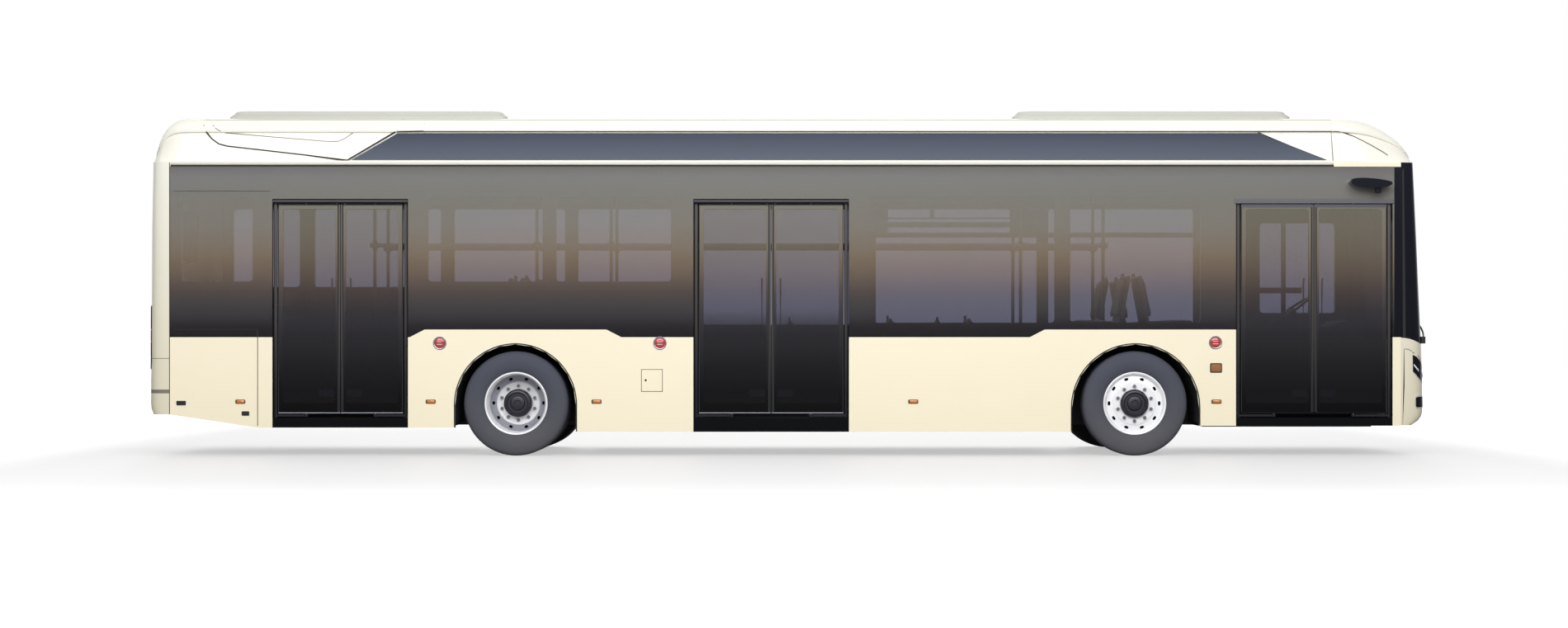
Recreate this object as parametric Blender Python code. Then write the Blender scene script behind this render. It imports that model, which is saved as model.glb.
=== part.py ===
"""City bus with three doors, two axles and a low floor, as an assembly of closed solids.

Frame: +X forward, +Y to the bus's left, +Z up, origin on the ground below the middle of the overall box.
Lengths are in metres, angles in degrees. The doors are in the right side, y < 0.
"""
import math
from collections import namedtuple

import bmesh
import bpy
from mathutils import Matrix, Vector
from mathutils.geometry import delaunay_2d_cdt

# Overall sizes
LENGTH = 12.12
WIDTH = 2.55
ROOF_TOP = 3.205
WHEELBASE = 5.861
REAR_OVERHANG = 3.491
HALF_LENGTH = LENGTH / 2
HALF_WIDTH = WIDTH / 2
REAR_AXLE_X = -HALF_LENGTH + REAR_OVERHANG
FRONT_AXLE_X = REAR_AXLE_X + WHEELBASE

# Clearances shared by all pieces
GAP = 0.0003
RUN = 0.005
OVERRUN = 0.08

# Side walls
WALL = 0.06
CORNER_BACK = 0.218
CORNER_FRONT = 0.26
SIDE_BACK = -HALF_LENGTH + CORNER_BACK
SIDE_FRONT = HALF_LENGTH - CORNER_FRONT
SIDE_LENGTH = SIDE_FRONT - SIDE_BACK
WALL_TOP = 2.775
INNER_FACE = HALF_WIDTH - WALL
SKIRT_FRONT = 0.285
SKIRT_MIDDLE = 0.228
SKIRT_REAR = 0.2675
SKIRT_TAIL = 0.391
TAIL_RISE = 0.84

# Glass bands of the sides
GLASS = 0.008
WAIST = 1.123
WAIST_STEP = 0.072
WAIST_STEP_HALF = 0.86
WAIST_SLOPE = 0.14
GLASS_TOP = 2.735
SILL_LOW = 1.26
SILL_HIGH = 1.65
SILL_CAB = 1.38
WINDOW_TOP = 2.455
WINDOW_TOP_CAB = 2.31
WINDOW_CORNER = 0.03

# Wheel arches and houses
TYRE_RADIUS = 0.495
ARCH_TOP = 1.0546
ARCH_REAR = 0.571
ARCH_FRONT = 0.601
HOUSE = 0.03
HOUSE_INSIDE = 0.53

# Floor and chassis
FLOOR_TOP = 0.36
FLOOR = 0.05
FLOOR_BOTTOM = FLOOR_TOP - FLOOR
FLOOR_BACK = SIDE_BACK + 0.842
FLOOR_FRONT_SPARE = 0.02
FLOOR_FRONT = SIDE_FRONT - FLOOR_FRONT_SPARE
SILL_FASCIA = 0.03
CHASSIS_BOTTOM = 0.272
CHASSIS_TOP = FLOOR_BOTTOM - GAP
CHASSIS_BACK = FLOOR_BACK + 0.05
CHASSIS_FRONT = SIDE_FRONT - 0.25
CHASSIS_HALF = 1.12
CHASSIS_NECK = 0.44
CHASSIS_BEAM = 0.07
CHASSIS_BAYS = 12
PODIUM_TOP = 0.80
PODIUM_PLATE = 0.04
PODIUM_LEFT = 0.15

# Doors
DOOR_TOP = 2.428
LEAF_TOP = 2.381
LEAF_BOTTOM = 0.4025
LEAF = 0.036
LEAF_INSET = 0.022
LEAF_WEB = 0.006
LEAF_FRAME = 0.045
LEAF_WINDOW_FOOT = 0.10
POST_RADIUS = 0.018
POST_TO_JAMB = 0.025
POST_TO_LEAF = 0.026
POST_END = 0.0015
LEAF_MEET = 0.003
PIN_TO_EDGE = 0.035
ARM_ABOVE = 0.010
ARM_THICK = 0.020
ARM_HALF = 0.014
EYE_RADIUS = 0.022
PIN_RADIUS = 0.008
PIN_HOLE = 0.0112
DOOR_Y = -(HALF_WIDTH - LEAF_INSET - LEAF / 2)
A_PILLAR = 0.079
DOOR_WIDTH_FRONT = 1.480
DOOR_WIDTH_MIDDLE = 1.471
DOOR_WIDTH_REAR = 1.282
MIDDLE_DOOR_AHEAD = 2.4165
REAR_DOOR_BEHIND = 1.657
Door = namedtuple("Door", "name centre width")
DOORS = (
    Door("rear", REAR_AXLE_X - REAR_DOOR_BEHIND, DOOR_WIDTH_REAR),
    Door("middle", REAR_AXLE_X + MIDDLE_DOOR_AHEAD, DOOR_WIDTH_MIDDLE),
    Door("front", SIDE_FRONT - A_PILLAR - DOOR_WIDTH_FRONT / 2, DOOR_WIDTH_FRONT),
)

# Roof
ROOF_BACK = SIDE_BACK + 0.312
ROOF_FRONT = SIDE_FRONT - 0.632
CEILING = 2.70
ROOF_SKIN = 0.03
DUCT_BOTTOM = 2.52
DUCT_INSIDE = 0.95
DUCT_SLOPE = 0.15
RAIL_INSET = 0.003
RAIL_TOP = 2.79
FAIRING_BOTTOM = 2.793
FAIRING_TOP = 3.06
FAIRING_FOOT = 1.247
FAIRING_HEAD = 1.177
EAVES = 3.12
SHOULDER = 3.175
EAVES_HALF = 1.193
SHOULDER_HALF = 1.15
TOP_HALF = 1.06

# Front and rear ends
SHELL = 0.05
SCREEN = 0.012
NOSE_STEPS = 5
NOSE_SQUARE = 3.0
BOW_STEPS = 4
FRONT_FOOT = 0.289
SCREEN_FOOT = 1.12
REAR_FOOT = 0.391
HATCH_BOTTOM = 0.94
HATCH_TOP = 1.70
HATCH_HALF = 0.85
REAR_WINDOW_BOTTOM = 1.88
REAR_WINDOW_TOP = 2.38
REAR_WINDOW_HALF = 0.80

# Wheels
RIM_FLANGE = 0.298
RIM_BARREL = 0.286
RIM_SEAT = 0.2865
RIM_HALF = 0.1195
RIM_WALL = 0.012
BEAD_HALF = 0.1075
TYRE_HALF = 0.140
WHEEL_STEPS = 28
RIM_STEPS = 20
HOLE_STEPS = 6
PIN_STEPS = 8
FRONT_WHEEL_Y = 1.10
DUAL_Y = 0.94
DUAL_OFFSET = 0.16
HUB_RADIUS = 0.136
BOLT_CIRCLE = 0.165
HAND_HOLES = 10

# Axles and knuckles
KINGPIN_Y = 1.00
KINGPIN_RADIUS = 0.020
KINGPIN_BORE = 0.0240
BOSS_RADIUS = 0.045
BOSS_BOTTOM = 0.435
BOSS_TOP = 0.555
LUG = 0.033
LUG_GAP = 0.005
BEAM_BOTTOM = 0.13
BEAM_TOP = CHASSIS_BOTTOM - GAP
BEAM_HALF = 0.055
SPINDLE_RADIUS = 0.045
BEARING_GAP = 0.003


def arc(centre, radius, start, end, steps):
    """Points on an arc, angles in degrees, both ends included."""
    turns = (math.radians(start + (end - start) * i / steps) for i in range(steps + 1))
    return [(centre[0] + radius * math.cos(t), centre[1] + radius * math.sin(t)) for t in turns]


def rectangle(low, high):
    """Corners of a rectangle between two opposite corners."""
    return [(low[0], low[1]), (high[0], low[1]), (high[0], high[1]), (low[0], high[1])]


def soft_rectangle(low, high, radius):
    """Rectangle whose corners are cut by two short chords each."""
    corners = ((low[0], low[1], 180), (high[0], low[1], 270), (high[0], high[1], 0), (low[0], high[1], 90))
    points = []
    for x, z, start in corners:
        side_x = 1 if x == low[0] else -1
        side_z = 1 if z == low[1] else -1
        centre = (x + side_x * radius, z + side_z * radius)
        points += arc(centre, radius, start, start + 90, 2)
    return points


def circle(centre, radius, steps, turn=0):
    """Corners of a regular polygon, the first at angle turn."""
    return arc(centre, radius, turn, turn + 360 * (steps - 1) / steps, steps - 1)


def finish_mesh(name, builder):
    """Turns a bmesh into an object whose faces point outwards."""
    bmesh.ops.recalc_face_normals(builder, faces=builder.faces)
    mesh = bpy.data.meshes.new(name)
    builder.to_mesh(mesh)
    builder.free()
    made = bpy.data.objects.new(name, mesh)
    bpy.context.scene.collection.objects.link(made)
    return made


CLOSE = 1e-7


def within(spot, points, edges):
    """Whether a line from the spot crosses the edges an odd number of times."""
    crossings = 0
    for a, b in edges:
        (ax, ay), (bx, by) = points[a], points[b]
        if (ay > spot.y) != (by > spot.y) and spot.x < ax + (spot.y - ay) * (bx - ax) / (by - ay):
            crossings += 1
    return crossings % 2 == 1


def triangles_between(loops):
    """Triangles, as indices into the joined loops, that fill an outline round its holes."""
    points = [Vector(p) for loop in loops for p in loop]
    edges = []
    for loop in loops:
        first = len(edges)
        edges += [(first + i, first + (i + 1) % len(loop)) for i in range(len(loop))]
    faces = delaunay_2d_cdt(points, edges, [], False, CLOSE)[2]
    middles = (sum((points[i] for i in face), Vector((0, 0))) / len(face) for face in faces)
    return [face for face, middle in zip(faces, middles) if within(middle, points, edges)]


def prism(name, outline, low, high, axis, holes=()):
    """Outline, with holes, pushed along an axis from low to high."""
    along = "XYZ".index(axis)
    first, second = (i for i in range(3) if i != along)
    loops = [outline, *holes]

    def place(point, height):
        spot = [0.0, 0.0, 0.0]
        spot[first], spot[second], spot[along] = point[0], point[1], height
        return spot

    builder = bmesh.new()
    rings = {}
    for level in (low, high):
        rings[level] = [[builder.verts.new(place(p, level)) for p in loop] for loop in loops]
    faces = triangles_between(loops)
    for level in (low, high):
        corners = [v for ring in rings[level] for v in ring]
        for face in faces:
            builder.faces.new([corners[i] for i in face])
    for under, over in zip(rings[low], rings[high]):
        for i, vertex in enumerate(under):
            following = (i + 1) % len(under)
            builder.faces.new((vertex, under[following], over[following], over[i]))
    return finish_mesh(name, builder)


def box(name, low, high):
    """Rectangular block between two opposite corners."""
    return prism(name, rectangle(low[:2], high[:2]), low[2], high[2], "Z")


def loft(name, sections):
    """Skin over closed loops of equal count, capped at both ends."""
    builder = bmesh.new()
    rings = [[builder.verts.new(p) for p in section] for section in sections]
    for under, over in zip(rings, rings[1:]):
        for i, vertex in enumerate(under):
            following = (i + 1) % len(under)
            builder.faces.new((vertex, under[following], over[following], over[i]))
    builder.faces.new(rings[0])
    builder.faces.new(rings[-1])
    return finish_mesh(name, builder)


def turned(name, profile, centre, outward, steps, turn=0):
    """Closed profile of (axial, radius) points turned about a line along Y, axial counted outward."""
    builder = bmesh.new()
    rings = []
    for axial, radius in profile:
        y = centre[1] + outward * axial
        if radius == 0:
            rings.append([builder.verts.new((centre[0], y, centre[2]))])
            continue
        spots = circle((centre[0], centre[2]), radius, steps, turn)
        rings.append([builder.verts.new((x, y, z)) for x, z in spots])
    for under, over in zip(rings, rings[1:] + rings[:1]):
        if len(under) == 1 and len(over) == 1:
            continue
        for i in range(steps):
            following = (i + 1) % steps
            corners = [under[i % len(under)], under[following % len(under)]]
            corners += [over[following % len(over)], over[i % len(over)]]
            builder.faces.new(list(dict.fromkeys(corners)))
    return finish_mesh(name, builder)


def tube(name, start, end, radius, steps=6):
    """Straight round bar between two points."""
    start, end = Vector(start), Vector(end)
    turn = (end - start).to_track_quat("Z", "Y")
    spots = circle((0, 0), radius, steps, 180 / steps)
    return loft(name, [[base + turn @ Vector((u, v, 0)) for u, v in spots] for base in (start, end)])


def combine(target, operation, *helpers):
    """Boolean of a target with hidden helpers, kept as modifiers."""
    for helper in helpers:
        helper.hide_render = True
        helper.display_type = "WIRE"
        helper.name = f"{target.name}_{operation.lower()}_{len(target.modifiers)}"
        modifier = target.modifiers.new(helper.name, "BOOLEAN")
        modifier.operation = operation
        modifier.solver = "EXACT"
        modifier.object = helper
    return target


def mirrored(outline):
    """Half outline in y >= 0, from the foot up, closed by its mirror image."""
    return [*outline, *[(-y, z) for y, z in reversed(outline)]]


def set_origin(target, spot):
    """Moves the origin of an object to a spot and leaves its surface in place."""
    target.data.transform(Matrix.Translation(-Vector(spot)))
    target.location = spot
    return target


# Side walls with their glass bands

Bay = namedtuple("Bay", "start end sill top")
RIGHT_BAY_SHARES = (
    # start and end as shares of the wall between two doors or wall ends, sill height, top height
    ("tail", Bay(0.12, 0.8082, SILL_HIGH, WINDOW_TOP)),
    ("rear", Bay(0.0704, 0.4716, SILL_HIGH, WINDOW_TOP)),
    ("rear", Bay(0.5195, 0.9214, SILL_HIGH, WINDOW_TOP)),
    ("middle", Bay(0.0555, 0.5314, SILL_LOW, WINDOW_TOP)),
    ("middle", Bay(0.5719, 0.9090, SILL_LOW, WINDOW_TOP)),
)
LEFT_BAY_SHARES = (
    # start and end as shares of the whole wall, sill height, top height
    Bay(0.0095, 0.0685, SILL_HIGH, WINDOW_TOP),
    Bay(0.0818, 0.1939, SILL_HIGH, WINDOW_TOP),
    Bay(0.2060, 0.3044, SILL_HIGH, WINDOW_TOP),
    Bay(0.3162, 0.4151, SILL_HIGH, WINDOW_TOP),
    Bay(0.4271, 0.5688, SILL_LOW, WINDOW_TOP),
    Bay(0.5808, 0.7239, SILL_LOW, WINDOW_TOP),
    Bay(0.7342, 0.8632, SILL_LOW, WINDOW_TOP),
    Bay(0.9223, 0.9892, SILL_CAB, WINDOW_TOP_CAB),
)
Arch = namedtuple("Arch", "x radius skirt_behind skirt_ahead")
ARCHES = (
    Arch(REAR_AXLE_X, ARCH_REAR, SKIRT_REAR, SKIRT_MIDDLE),
    Arch(FRONT_AXLE_X, ARCH_FRONT, SKIRT_MIDDLE, SKIRT_FRONT),
)
ARCH_STEPS = 12


def door_span(door):
    """Jambs of a door, from back to front."""
    return door.centre - door.width / 2, door.centre + door.width / 2


def arch_points(x, radius, foot_behind, foot_ahead):
    """Arch from its rear foot over the top to its front foot."""
    centre = ARCH_TOP - radius
    over = arc((x, centre), radius, 180, 0, ARCH_STEPS)
    return [(x - radius, foot_behind), *over, (x + radius, foot_ahead)]


def skirt_at(x):
    """Height of the skirt's lower edge at a place that is clear of the arches."""
    if x < SIDE_BACK + TAIL_RISE:
        return SKIRT_TAIL + (SKIRT_REAR - SKIRT_TAIL) * (x - SIDE_BACK) / TAIL_RISE
    if x < REAR_AXLE_X:
        return SKIRT_REAR
    return SKIRT_MIDDLE if x < FRONT_AXLE_X else SKIRT_FRONT


def side_outline(doors):
    """Lower edge from back to front with arches and door notches, then the straight top."""
    stops = [(arch.x, "arch", arch) for arch in ARCHES] + [(door.centre, "door", door) for door in doors]
    points = [(SIDE_BACK, skirt_at(SIDE_BACK)), (SIDE_BACK + TAIL_RISE, SKIRT_REAR)]
    for _, kind, item in sorted(stops, key=lambda stop: stop[0]):
        if kind == "arch":
            points += arch_points(item.x, item.radius, item.skirt_behind, item.skirt_ahead)
            continue
        start, end = door_span(item)
        points += [(start, skirt_at(start)), (start, DOOR_TOP), (end, DOOR_TOP), (end, skirt_at(end))]
    return [*points, (SIDE_FRONT, SKIRT_FRONT), (SIDE_FRONT, WALL_TOP), (SIDE_BACK, WALL_TOP)]


def waist_line(start, end):
    """Lower edge of the dark band between two places, raised over the arches."""
    points = [(start, WAIST)]
    for arch in ARCHES:
        low, high = arch.x - WAIST_STEP_HALF, arch.x + WAIST_STEP_HALF
        if high <= start or low >= end:
            continue
        if low - WAIST_SLOPE > start:
            points += [(low - WAIST_SLOPE, WAIST), (low, WAIST + WAIST_STEP)]
        else:
            points[0] = (start, WAIST + WAIST_STEP)
        if high + WAIST_SLOPE < end:
            points += [(high, WAIST + WAIST_STEP), (high + WAIST_SLOPE, WAIST)]
        else:
            points.append((end, WAIST + WAIST_STEP))
    if points[-1][0] != end:
        points.append((end, WAIST))
    return points


def band_outline(doors, grow=0.0, ends=0.0):
    """Outline of the glass band of a side, grown all round and lengthened at its ends."""
    stops = [(SIDE_BACK - ends, None)] + [(side, door) for door in doors for side in door_span(door)]
    stops.append((SIDE_FRONT + ends, None))
    points = []
    for (start, _), (end, door) in zip(stops[::2], stops[1::2]):
        low = start if start < SIDE_BACK + GAP else start - grow
        high = end if end > SIDE_FRONT - GAP else end + grow
        points += [(x, z - grow) for x, z in waist_line(low, high)]
        if door:
            far = door_span(door)[1]
            points += [(high, DOOR_TOP - grow), (far - grow, DOOR_TOP - grow)]
    return [*points, (SIDE_FRONT + ends, GLASS_TOP + grow), (SIDE_BACK - ends, GLASS_TOP + grow)]


def right_bays():
    """Window openings of the right side, as outlines."""
    spans = {"tail": (SIDE_BACK, door_span(DOORS[0])[0])}
    spans["rear"] = (door_span(DOORS[0])[1], door_span(DOORS[1])[0])
    spans["middle"] = (door_span(DOORS[1])[1], door_span(DOORS[2])[0])
    for wall, bay in RIGHT_BAY_SHARES:
        start, end = spans[wall]
        yield (start + bay.start * (end - start), start + bay.end * (end - start), bay.sill, bay.top)


def left_bays():
    """Window openings of the left side, as outlines."""
    for bay in LEFT_BAY_SHARES:
        yield (SIDE_BACK + bay.start * SIDE_LENGTH, SIDE_BACK + bay.end * SIDE_LENGTH, bay.sill, bay.top)


def side_wall(name, side, doors, bays):
    """One side wall with its windows cut and a rebate for its glass."""
    holes = [soft_rectangle((start, sill), (end, top), WINDOW_CORNER) for start, end, sill, top in bays]
    wall = prism(name, side_outline(doors), side * INNER_FACE, side * HALF_WIDTH, "Y", holes)
    rebate = band_outline(doors, GAP, OVERRUN)
    depth = side * (HALF_WIDTH - GLASS - GAP)
    return combine(wall, "DIFFERENCE", prism("rebate", rebate, depth, side * (HALF_WIDTH + OVERRUN), "Y"))


def side_glass(name, side, doors):
    """Dark glass band of one side, flush with the wall."""
    return prism(name, band_outline(doors), side * (HALF_WIDTH - GLASS), side * HALF_WIDTH, "Y")


# Front and rear ends, whose plan is a bow between rounded corners

def squared_arc(centre, radius):
    """Quarter turn from straight down to straight ahead, fuller than a circle's."""
    points = []
    for i in range(NOSE_STEPS + 1):
        turn = math.radians(90 * i / NOSE_STEPS)
        ahead, across = math.sin(turn) ** (2 / NOSE_SQUARE), math.cos(turn) ** (2 / NOSE_SQUARE)
        points.append((centre[0] + radius * ahead, centre[1] - radius * across))
    return points


def bow(reach, back, half_width, bulge):
    """Plan points from the right corner round to the left one, x counted towards the end."""
    radius = reach - bulge - back
    corner = half_width - radius
    right = squared_arc((back, -corner), radius)
    middle = []
    for i in range(1, BOW_STEPS):
        y = -corner + 2 * corner * i / BOW_STEPS
        middle.append((reach - bulge * (y / corner) ** 2, y))
    left = [(x, -y) for x, y in reversed(right)]
    return [*right, *middle, *left]


def bow_section(end, reach, back, bulge, thick, height):
    """Closed loop at a height: outer bow and, inside it, a second one a wall thickness in."""
    outer = bow(reach, back, HALF_WIDTH, bulge)
    inner = bow(reach - thick, back, HALF_WIDTH - thick, bulge)
    return [(end * x, y, height) for x, y in [*outer, *reversed(inner)]]


def bow_wall(name, end, back, bulge, thick, levels):
    """Wall of a bus end through (height, reach) levels."""
    return loft(name, [bow_section(end, reach, back, bulge, thick, height) for height, reach in levels])


FRONT_BULGE = 0.012
REAR_BULGE = 0.012
FRONT_LEVELS = (
    # height, reach
    (FRONT_FOOT, 5.925),
    (0.3237, 5.995),
    (0.386, 6.050),
    (0.54, 6.051),
    (0.99, 6.040),
    (SCREEN_FOOT - GAP, 6.034),
)
SCREEN_LEVELS = (
    # height, reach
    (SCREEN_FOOT, 6.032),
    (1.60, 6.006),
    (2.11, 5.981),
    (WALL_TOP - GAP, 5.942),
)
REAR_LEVELS = (
    # height, reach
    (REAR_FOOT, 6.025),
    (0.45, 6.057),
    (0.585, 6.057),
    (0.592, 6.042),
    (0.628, 6.042),
    (0.635, 6.057),
    (0.80, 6.057),
    (0.83, 6.050),
    (1.11, 6.050),
    (2.11, 6.045),
    (WALL_TOP - GAP, 6.030),
)


def build_ends():
    """Front panel, windscreen, rear wall with its hatch and rear window."""
    front = bow_wall("front_panel", 1, SIDE_FRONT + GAP, FRONT_BULGE, SHELL, FRONT_LEVELS)
    screen = bow_wall("windscreen", 1, SIDE_FRONT + GAP, FRONT_BULGE, SCREEN, SCREEN_LEVELS)
    rear_back = -SIDE_BACK + GAP
    rear = bow_wall("rear_wall", -1, rear_back, REAR_BULGE, SHELL, REAR_LEVELS)
    near, far = -HALF_LENGTH - OVERRUN, SIDE_BACK
    low = (near, -HATCH_HALF - RUN, HATCH_BOTTOM - RUN)
    high = (far, HATCH_HALF + RUN, HATCH_TOP + RUN)
    hatch_hole = box("hole", low, high)
    window = soft_rectangle(
        (-REAR_WINDOW_HALF, REAR_WINDOW_BOTTOM), (REAR_WINDOW_HALF, REAR_WINDOW_TOP), WINDOW_CORNER
    )
    combine(rear, "DIFFERENCE", hatch_hole, prism("hole", window, near, far, "X"))
    lamps = [tail_lamp(side) for side in (-1, 1)]
    combine(rear, "UNION", *lamps)
    hatch = bow_wall("engine_hatch", -1, rear_back, REAR_BULGE, SHELL, REAR_LEVELS)
    hatch_block = box("block", (near, -HATCH_HALF, HATCH_BOTTOM), (far, HATCH_HALF, HATCH_TOP))
    combine(hatch, "INTERSECT", hatch_block)
    hinge = (-rear_reach(HATCH_TOP), 0, HATCH_TOP)
    set_origin(hatch, hinge)
    glass = bow_wall("rear_window", -1, rear_back, REAR_BULGE, SHELL, REAR_LEVELS)
    inset = REAR_WINDOW_HALF - GAP
    pane = soft_rectangle((-inset, REAR_WINDOW_BOTTOM + GAP), (inset, REAR_WINDOW_TOP - GAP), WINDOW_CORNER)
    combine(glass, "INTERSECT", prism("pane", pane, near, far, "X"))
    return [front, screen, rear, hatch, glass]


def rear_reach(height):
    """Reach of the rear wall at a height."""
    for (low, reach), (high, further) in zip(REAR_LEVELS, REAR_LEVELS[1:]):
        if low <= height <= high:
            return reach + (further - reach) * (height - low) / (high - low)
    return REAR_LEVELS[-1][1]


LAMP_BOTTOM = 0.82
LAMP_TOP = 1.425
LAMP_INSIDE = 0.95
LAMP_OUTSIDE = 1.13
LAMP_ROOT = 0.04
LAMP_SLANT = 0.03


def tail_lamp(side):
    """Raised upright lamp housing, its rounded face the bus's rearmost point."""
    profile = [
        (-HALF_LENGTH + LAMP_ROOT + LAMP_SLANT, LAMP_BOTTOM),
        (-HALF_LENGTH + LAMP_SLANT / 2, LAMP_BOTTOM),
        (-HALF_LENGTH, LAMP_BOTTOM + LAMP_SLANT),
        (-HALF_LENGTH, LAMP_TOP - LAMP_SLANT),
        (-HALF_LENGTH + LAMP_SLANT / 2, LAMP_TOP),
        (-HALF_LENGTH + LAMP_ROOT + LAMP_SLANT, LAMP_TOP),
    ]
    return prism("lamp", profile, side * LAMP_INSIDE, side * LAMP_OUTSIDE, "Y")


# Chassis and floor

NOTCH_EXTRA = 0.06
BAY_BORDER = 0.05


def build_chassis():
    """Flat lattice of two side beams and cross members, narrowed between the wheels."""
    half = []
    for arch in ARCHES:
        low, high = arch.x - arch.radius - NOTCH_EXTRA, arch.x + arch.radius + NOTCH_EXTRA
        half += [(low, CHASSIS_HALF), (low, CHASSIS_NECK), (high, CHASSIS_NECK), (high, CHASSIS_HALF)]
    left = [(CHASSIS_BACK, CHASSIS_HALF), *half, (CHASSIS_FRONT, CHASSIS_HALF)]
    outline = [*left, *[(x, -y) for x, y in reversed(left)]]
    holes = []
    pitch = (CHASSIS_FRONT - CHASSIS_BACK - CHASSIS_BEAM) / CHASSIS_BAYS
    for i in range(CHASSIS_BAYS):
        start = CHASSIS_BACK + CHASSIS_BEAM + i * pitch
        end = start + pitch - CHASSIS_BEAM
        spare = NOTCH_EXTRA + BAY_BORDER
        narrow = any(start < a.x + a.radius + spare and end > a.x - a.radius - spare for a in ARCHES)
        width = CHASSIS_NECK if narrow else CHASSIS_HALF
        for side in (-1, 1):
            inner, outer = side * CHASSIS_BEAM / 2, side * (width - CHASSIS_BEAM)
            holes.append(rectangle((start, min(inner, outer)), (end, max(inner, outer))))
    return [prism("chassis_frame", outline, CHASSIS_BOTTOM, CHASSIS_TOP, "Z", holes)]


def house_block(arch, side, grow, inside, outside):
    """Solid wheel house form grown past the arch."""
    radius = arch.radius + grow
    foot = FLOOR_BOTTOM if grow > 0 else FLOOR_BOTTOM - OVERRUN
    over = arc((arch.x, ARCH_TOP - arch.radius), radius, 180, 0, ARCH_STEPS)
    outline = [(arch.x - radius, foot), *over, (arch.x + radius, foot)]
    return prism("house", outline, side * inside, side * outside, "Y")


def build_floor():
    """Floor plate with sills at the doors, four wheel houses and the engine podium."""
    edge = INNER_FACE - GAP
    outline = [(FLOOR_BACK, -edge)]
    for door in DOORS:
        start, end = door_span(door)
        sill = HALF_WIDTH - GAP
        outline += [(start + GAP, -edge), (start + GAP, -sill), (end - GAP, -sill), (end - GAP, -edge)]
    outline += [(FLOOR_FRONT, -edge), (FLOOR_FRONT, edge), (FLOOR_BACK, edge)]
    floor = prism("floor_deck", outline, FLOOR_BOTTOM, FLOOR_TOP, "Z")
    pairs = [(arch, side) for arch in ARCHES for side in (-1, 1)]
    shells = [house_block(a, s, HOUSE, HOUSE_INSIDE - HOUSE, edge) for a, s in pairs]
    hollows = [house_block(a, s, 0, HOUSE_INSIDE, edge + OVERRUN) for a, s in pairs]
    combine(floor, "UNION", *shells)
    combine(floor, "DIFFERENCE", *hollows)
    fascias = []
    for door in DOORS:
        start, end = door_span(door)
        foot = skirt_at(door.centre) + GAP
        low = (start + GAP, -(HALF_WIDTH - GAP), foot)
        high = (end - GAP, -(HALF_WIDTH - GAP - SILL_FASCIA), FLOOR_TOP - FLOOR / 2)
        fascias.append(box("fascia", low, high))
    step = FLOOR_BACK + PODIUM_PLATE
    back = SIDE_BACK + WALL
    podium = [(step, FLOOR_BOTTOM), (step, PODIUM_TOP), (back, PODIUM_TOP), (back, PODIUM_TOP - PODIUM_PLATE)]
    podium += [(FLOOR_BACK, PODIUM_TOP - PODIUM_PLATE), (FLOOR_BACK, FLOOR_BOTTOM)]
    podium_block = prism("podium", podium, -edge, PODIUM_LEFT, "Y")
    combine(floor, "UNION", *fascias, podium_block)
    return [floor]


DRIVE_BOTTOM = 0.42
DRIVE_TOP = 1.60


def build_drive_unit():
    """Motor tower behind the podium on the left, one plain block."""
    low = (SIDE_BACK + WALL, PODIUM_LEFT + RUN, DRIVE_BOTTOM)
    high = (FLOOR_BACK - RUN, INNER_FACE - RUN, DRIVE_TOP)
    return [box("drive_unit", low, high)]


# Roof

def roof_profile():
    """Half of the roof's outer contour, from the wall top up."""
    return [
        (HALF_WIDTH - RAIL_INSET, WALL_TOP + GAP),
        (HALF_WIDTH - RAIL_INSET, RAIL_TOP),
        (FAIRING_FOOT, FAIRING_BOTTOM),
        (FAIRING_HEAD, FAIRING_TOP),
        (FAIRING_HEAD + 2 * GLASS, FAIRING_TOP + GLASS),
        (EAVES_HALF, EAVES),
        (SHOULDER_HALF, SHOULDER),
        (TOP_HALF, ROOF_TOP),
    ]


def build_roof():
    """Roof as a hollow shell with air ducts along both sides and a ceiling between them."""
    inside = INNER_FACE - GAP
    duct_end = DUCT_INSIDE - DUCT_SLOPE
    under = [(duct_end, CEILING), (DUCT_INSIDE, DUCT_BOTTOM), (inside, DUCT_BOTTOM), (inside, WALL_TOP + GAP)]
    outer = [(y, z) for y, z in [*under, *roof_profile()]]
    hollow_foot = CEILING + ROOF_SKIN
    shrink = 2 * ROOF_SKIN
    hollow = [
        (duct_end + ROOF_SKIN, hollow_foot),
        (DUCT_INSIDE + ROOF_SKIN, DUCT_BOTTOM + ROOF_SKIN),
        (inside - ROOF_SKIN, DUCT_BOTTOM + ROOF_SKIN),
        (inside - ROOF_SKIN, WALL_TOP + ROOF_SKIN),
        (FAIRING_HEAD - shrink, FAIRING_TOP),
        (TOP_HALF - ROOF_SKIN, ROOF_TOP - ROOF_SKIN),
    ]
    return [prism("roof_panel", mirrored(outer), ROOF_BACK, ROOF_FRONT - GAP, "X", [mirrored(hollow)])]


DOME_STATIONS_FRONT = (
    # distance from the roof's front, height share above the wall top, width share
    (0, 1.0, 1.0),
    (0.190, 0.975, 1.0),
    (0.330, 0.910, 1.0),
    (0.470, 0.770, 1.0),
    (0.600, 0.580, 1.0),
    (0.690, 0.390, 0.992),
    (0.740, 0.230, 0.972),
    (0.766, 0.100, 0.930),
)
DOME_STATIONS_REAR = (
    # distance from the roof's back, height share above the wall top, width share
    (GAP, 1.0, 1.0),
    (0.180, 1.0, 1.0),
    (0.290, 0.940, 1.0),
    (0.370, 0.785, 0.998),
    (0.425, 0.580, 0.990),
    (0.463, 0.380, 0.957),
    (0.484, 0.220, 0.935),
    (0.494, 0.090, 0.885),
)


def dome(name, start, end, stations):
    """Rounded roof end: the roof's contour shrinking over a flat foot, away from start."""
    foot = WALL_TOP + GAP
    sections = []
    for away, height_share, width_share in stations:
        x = start + end * away
        half = [(y * width_share, foot + (z - foot) * height_share) for y, z in roof_profile()]
        sections.append([(x, y, z) for y, z in mirrored(half)])
    return loft(name, sections)


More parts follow.
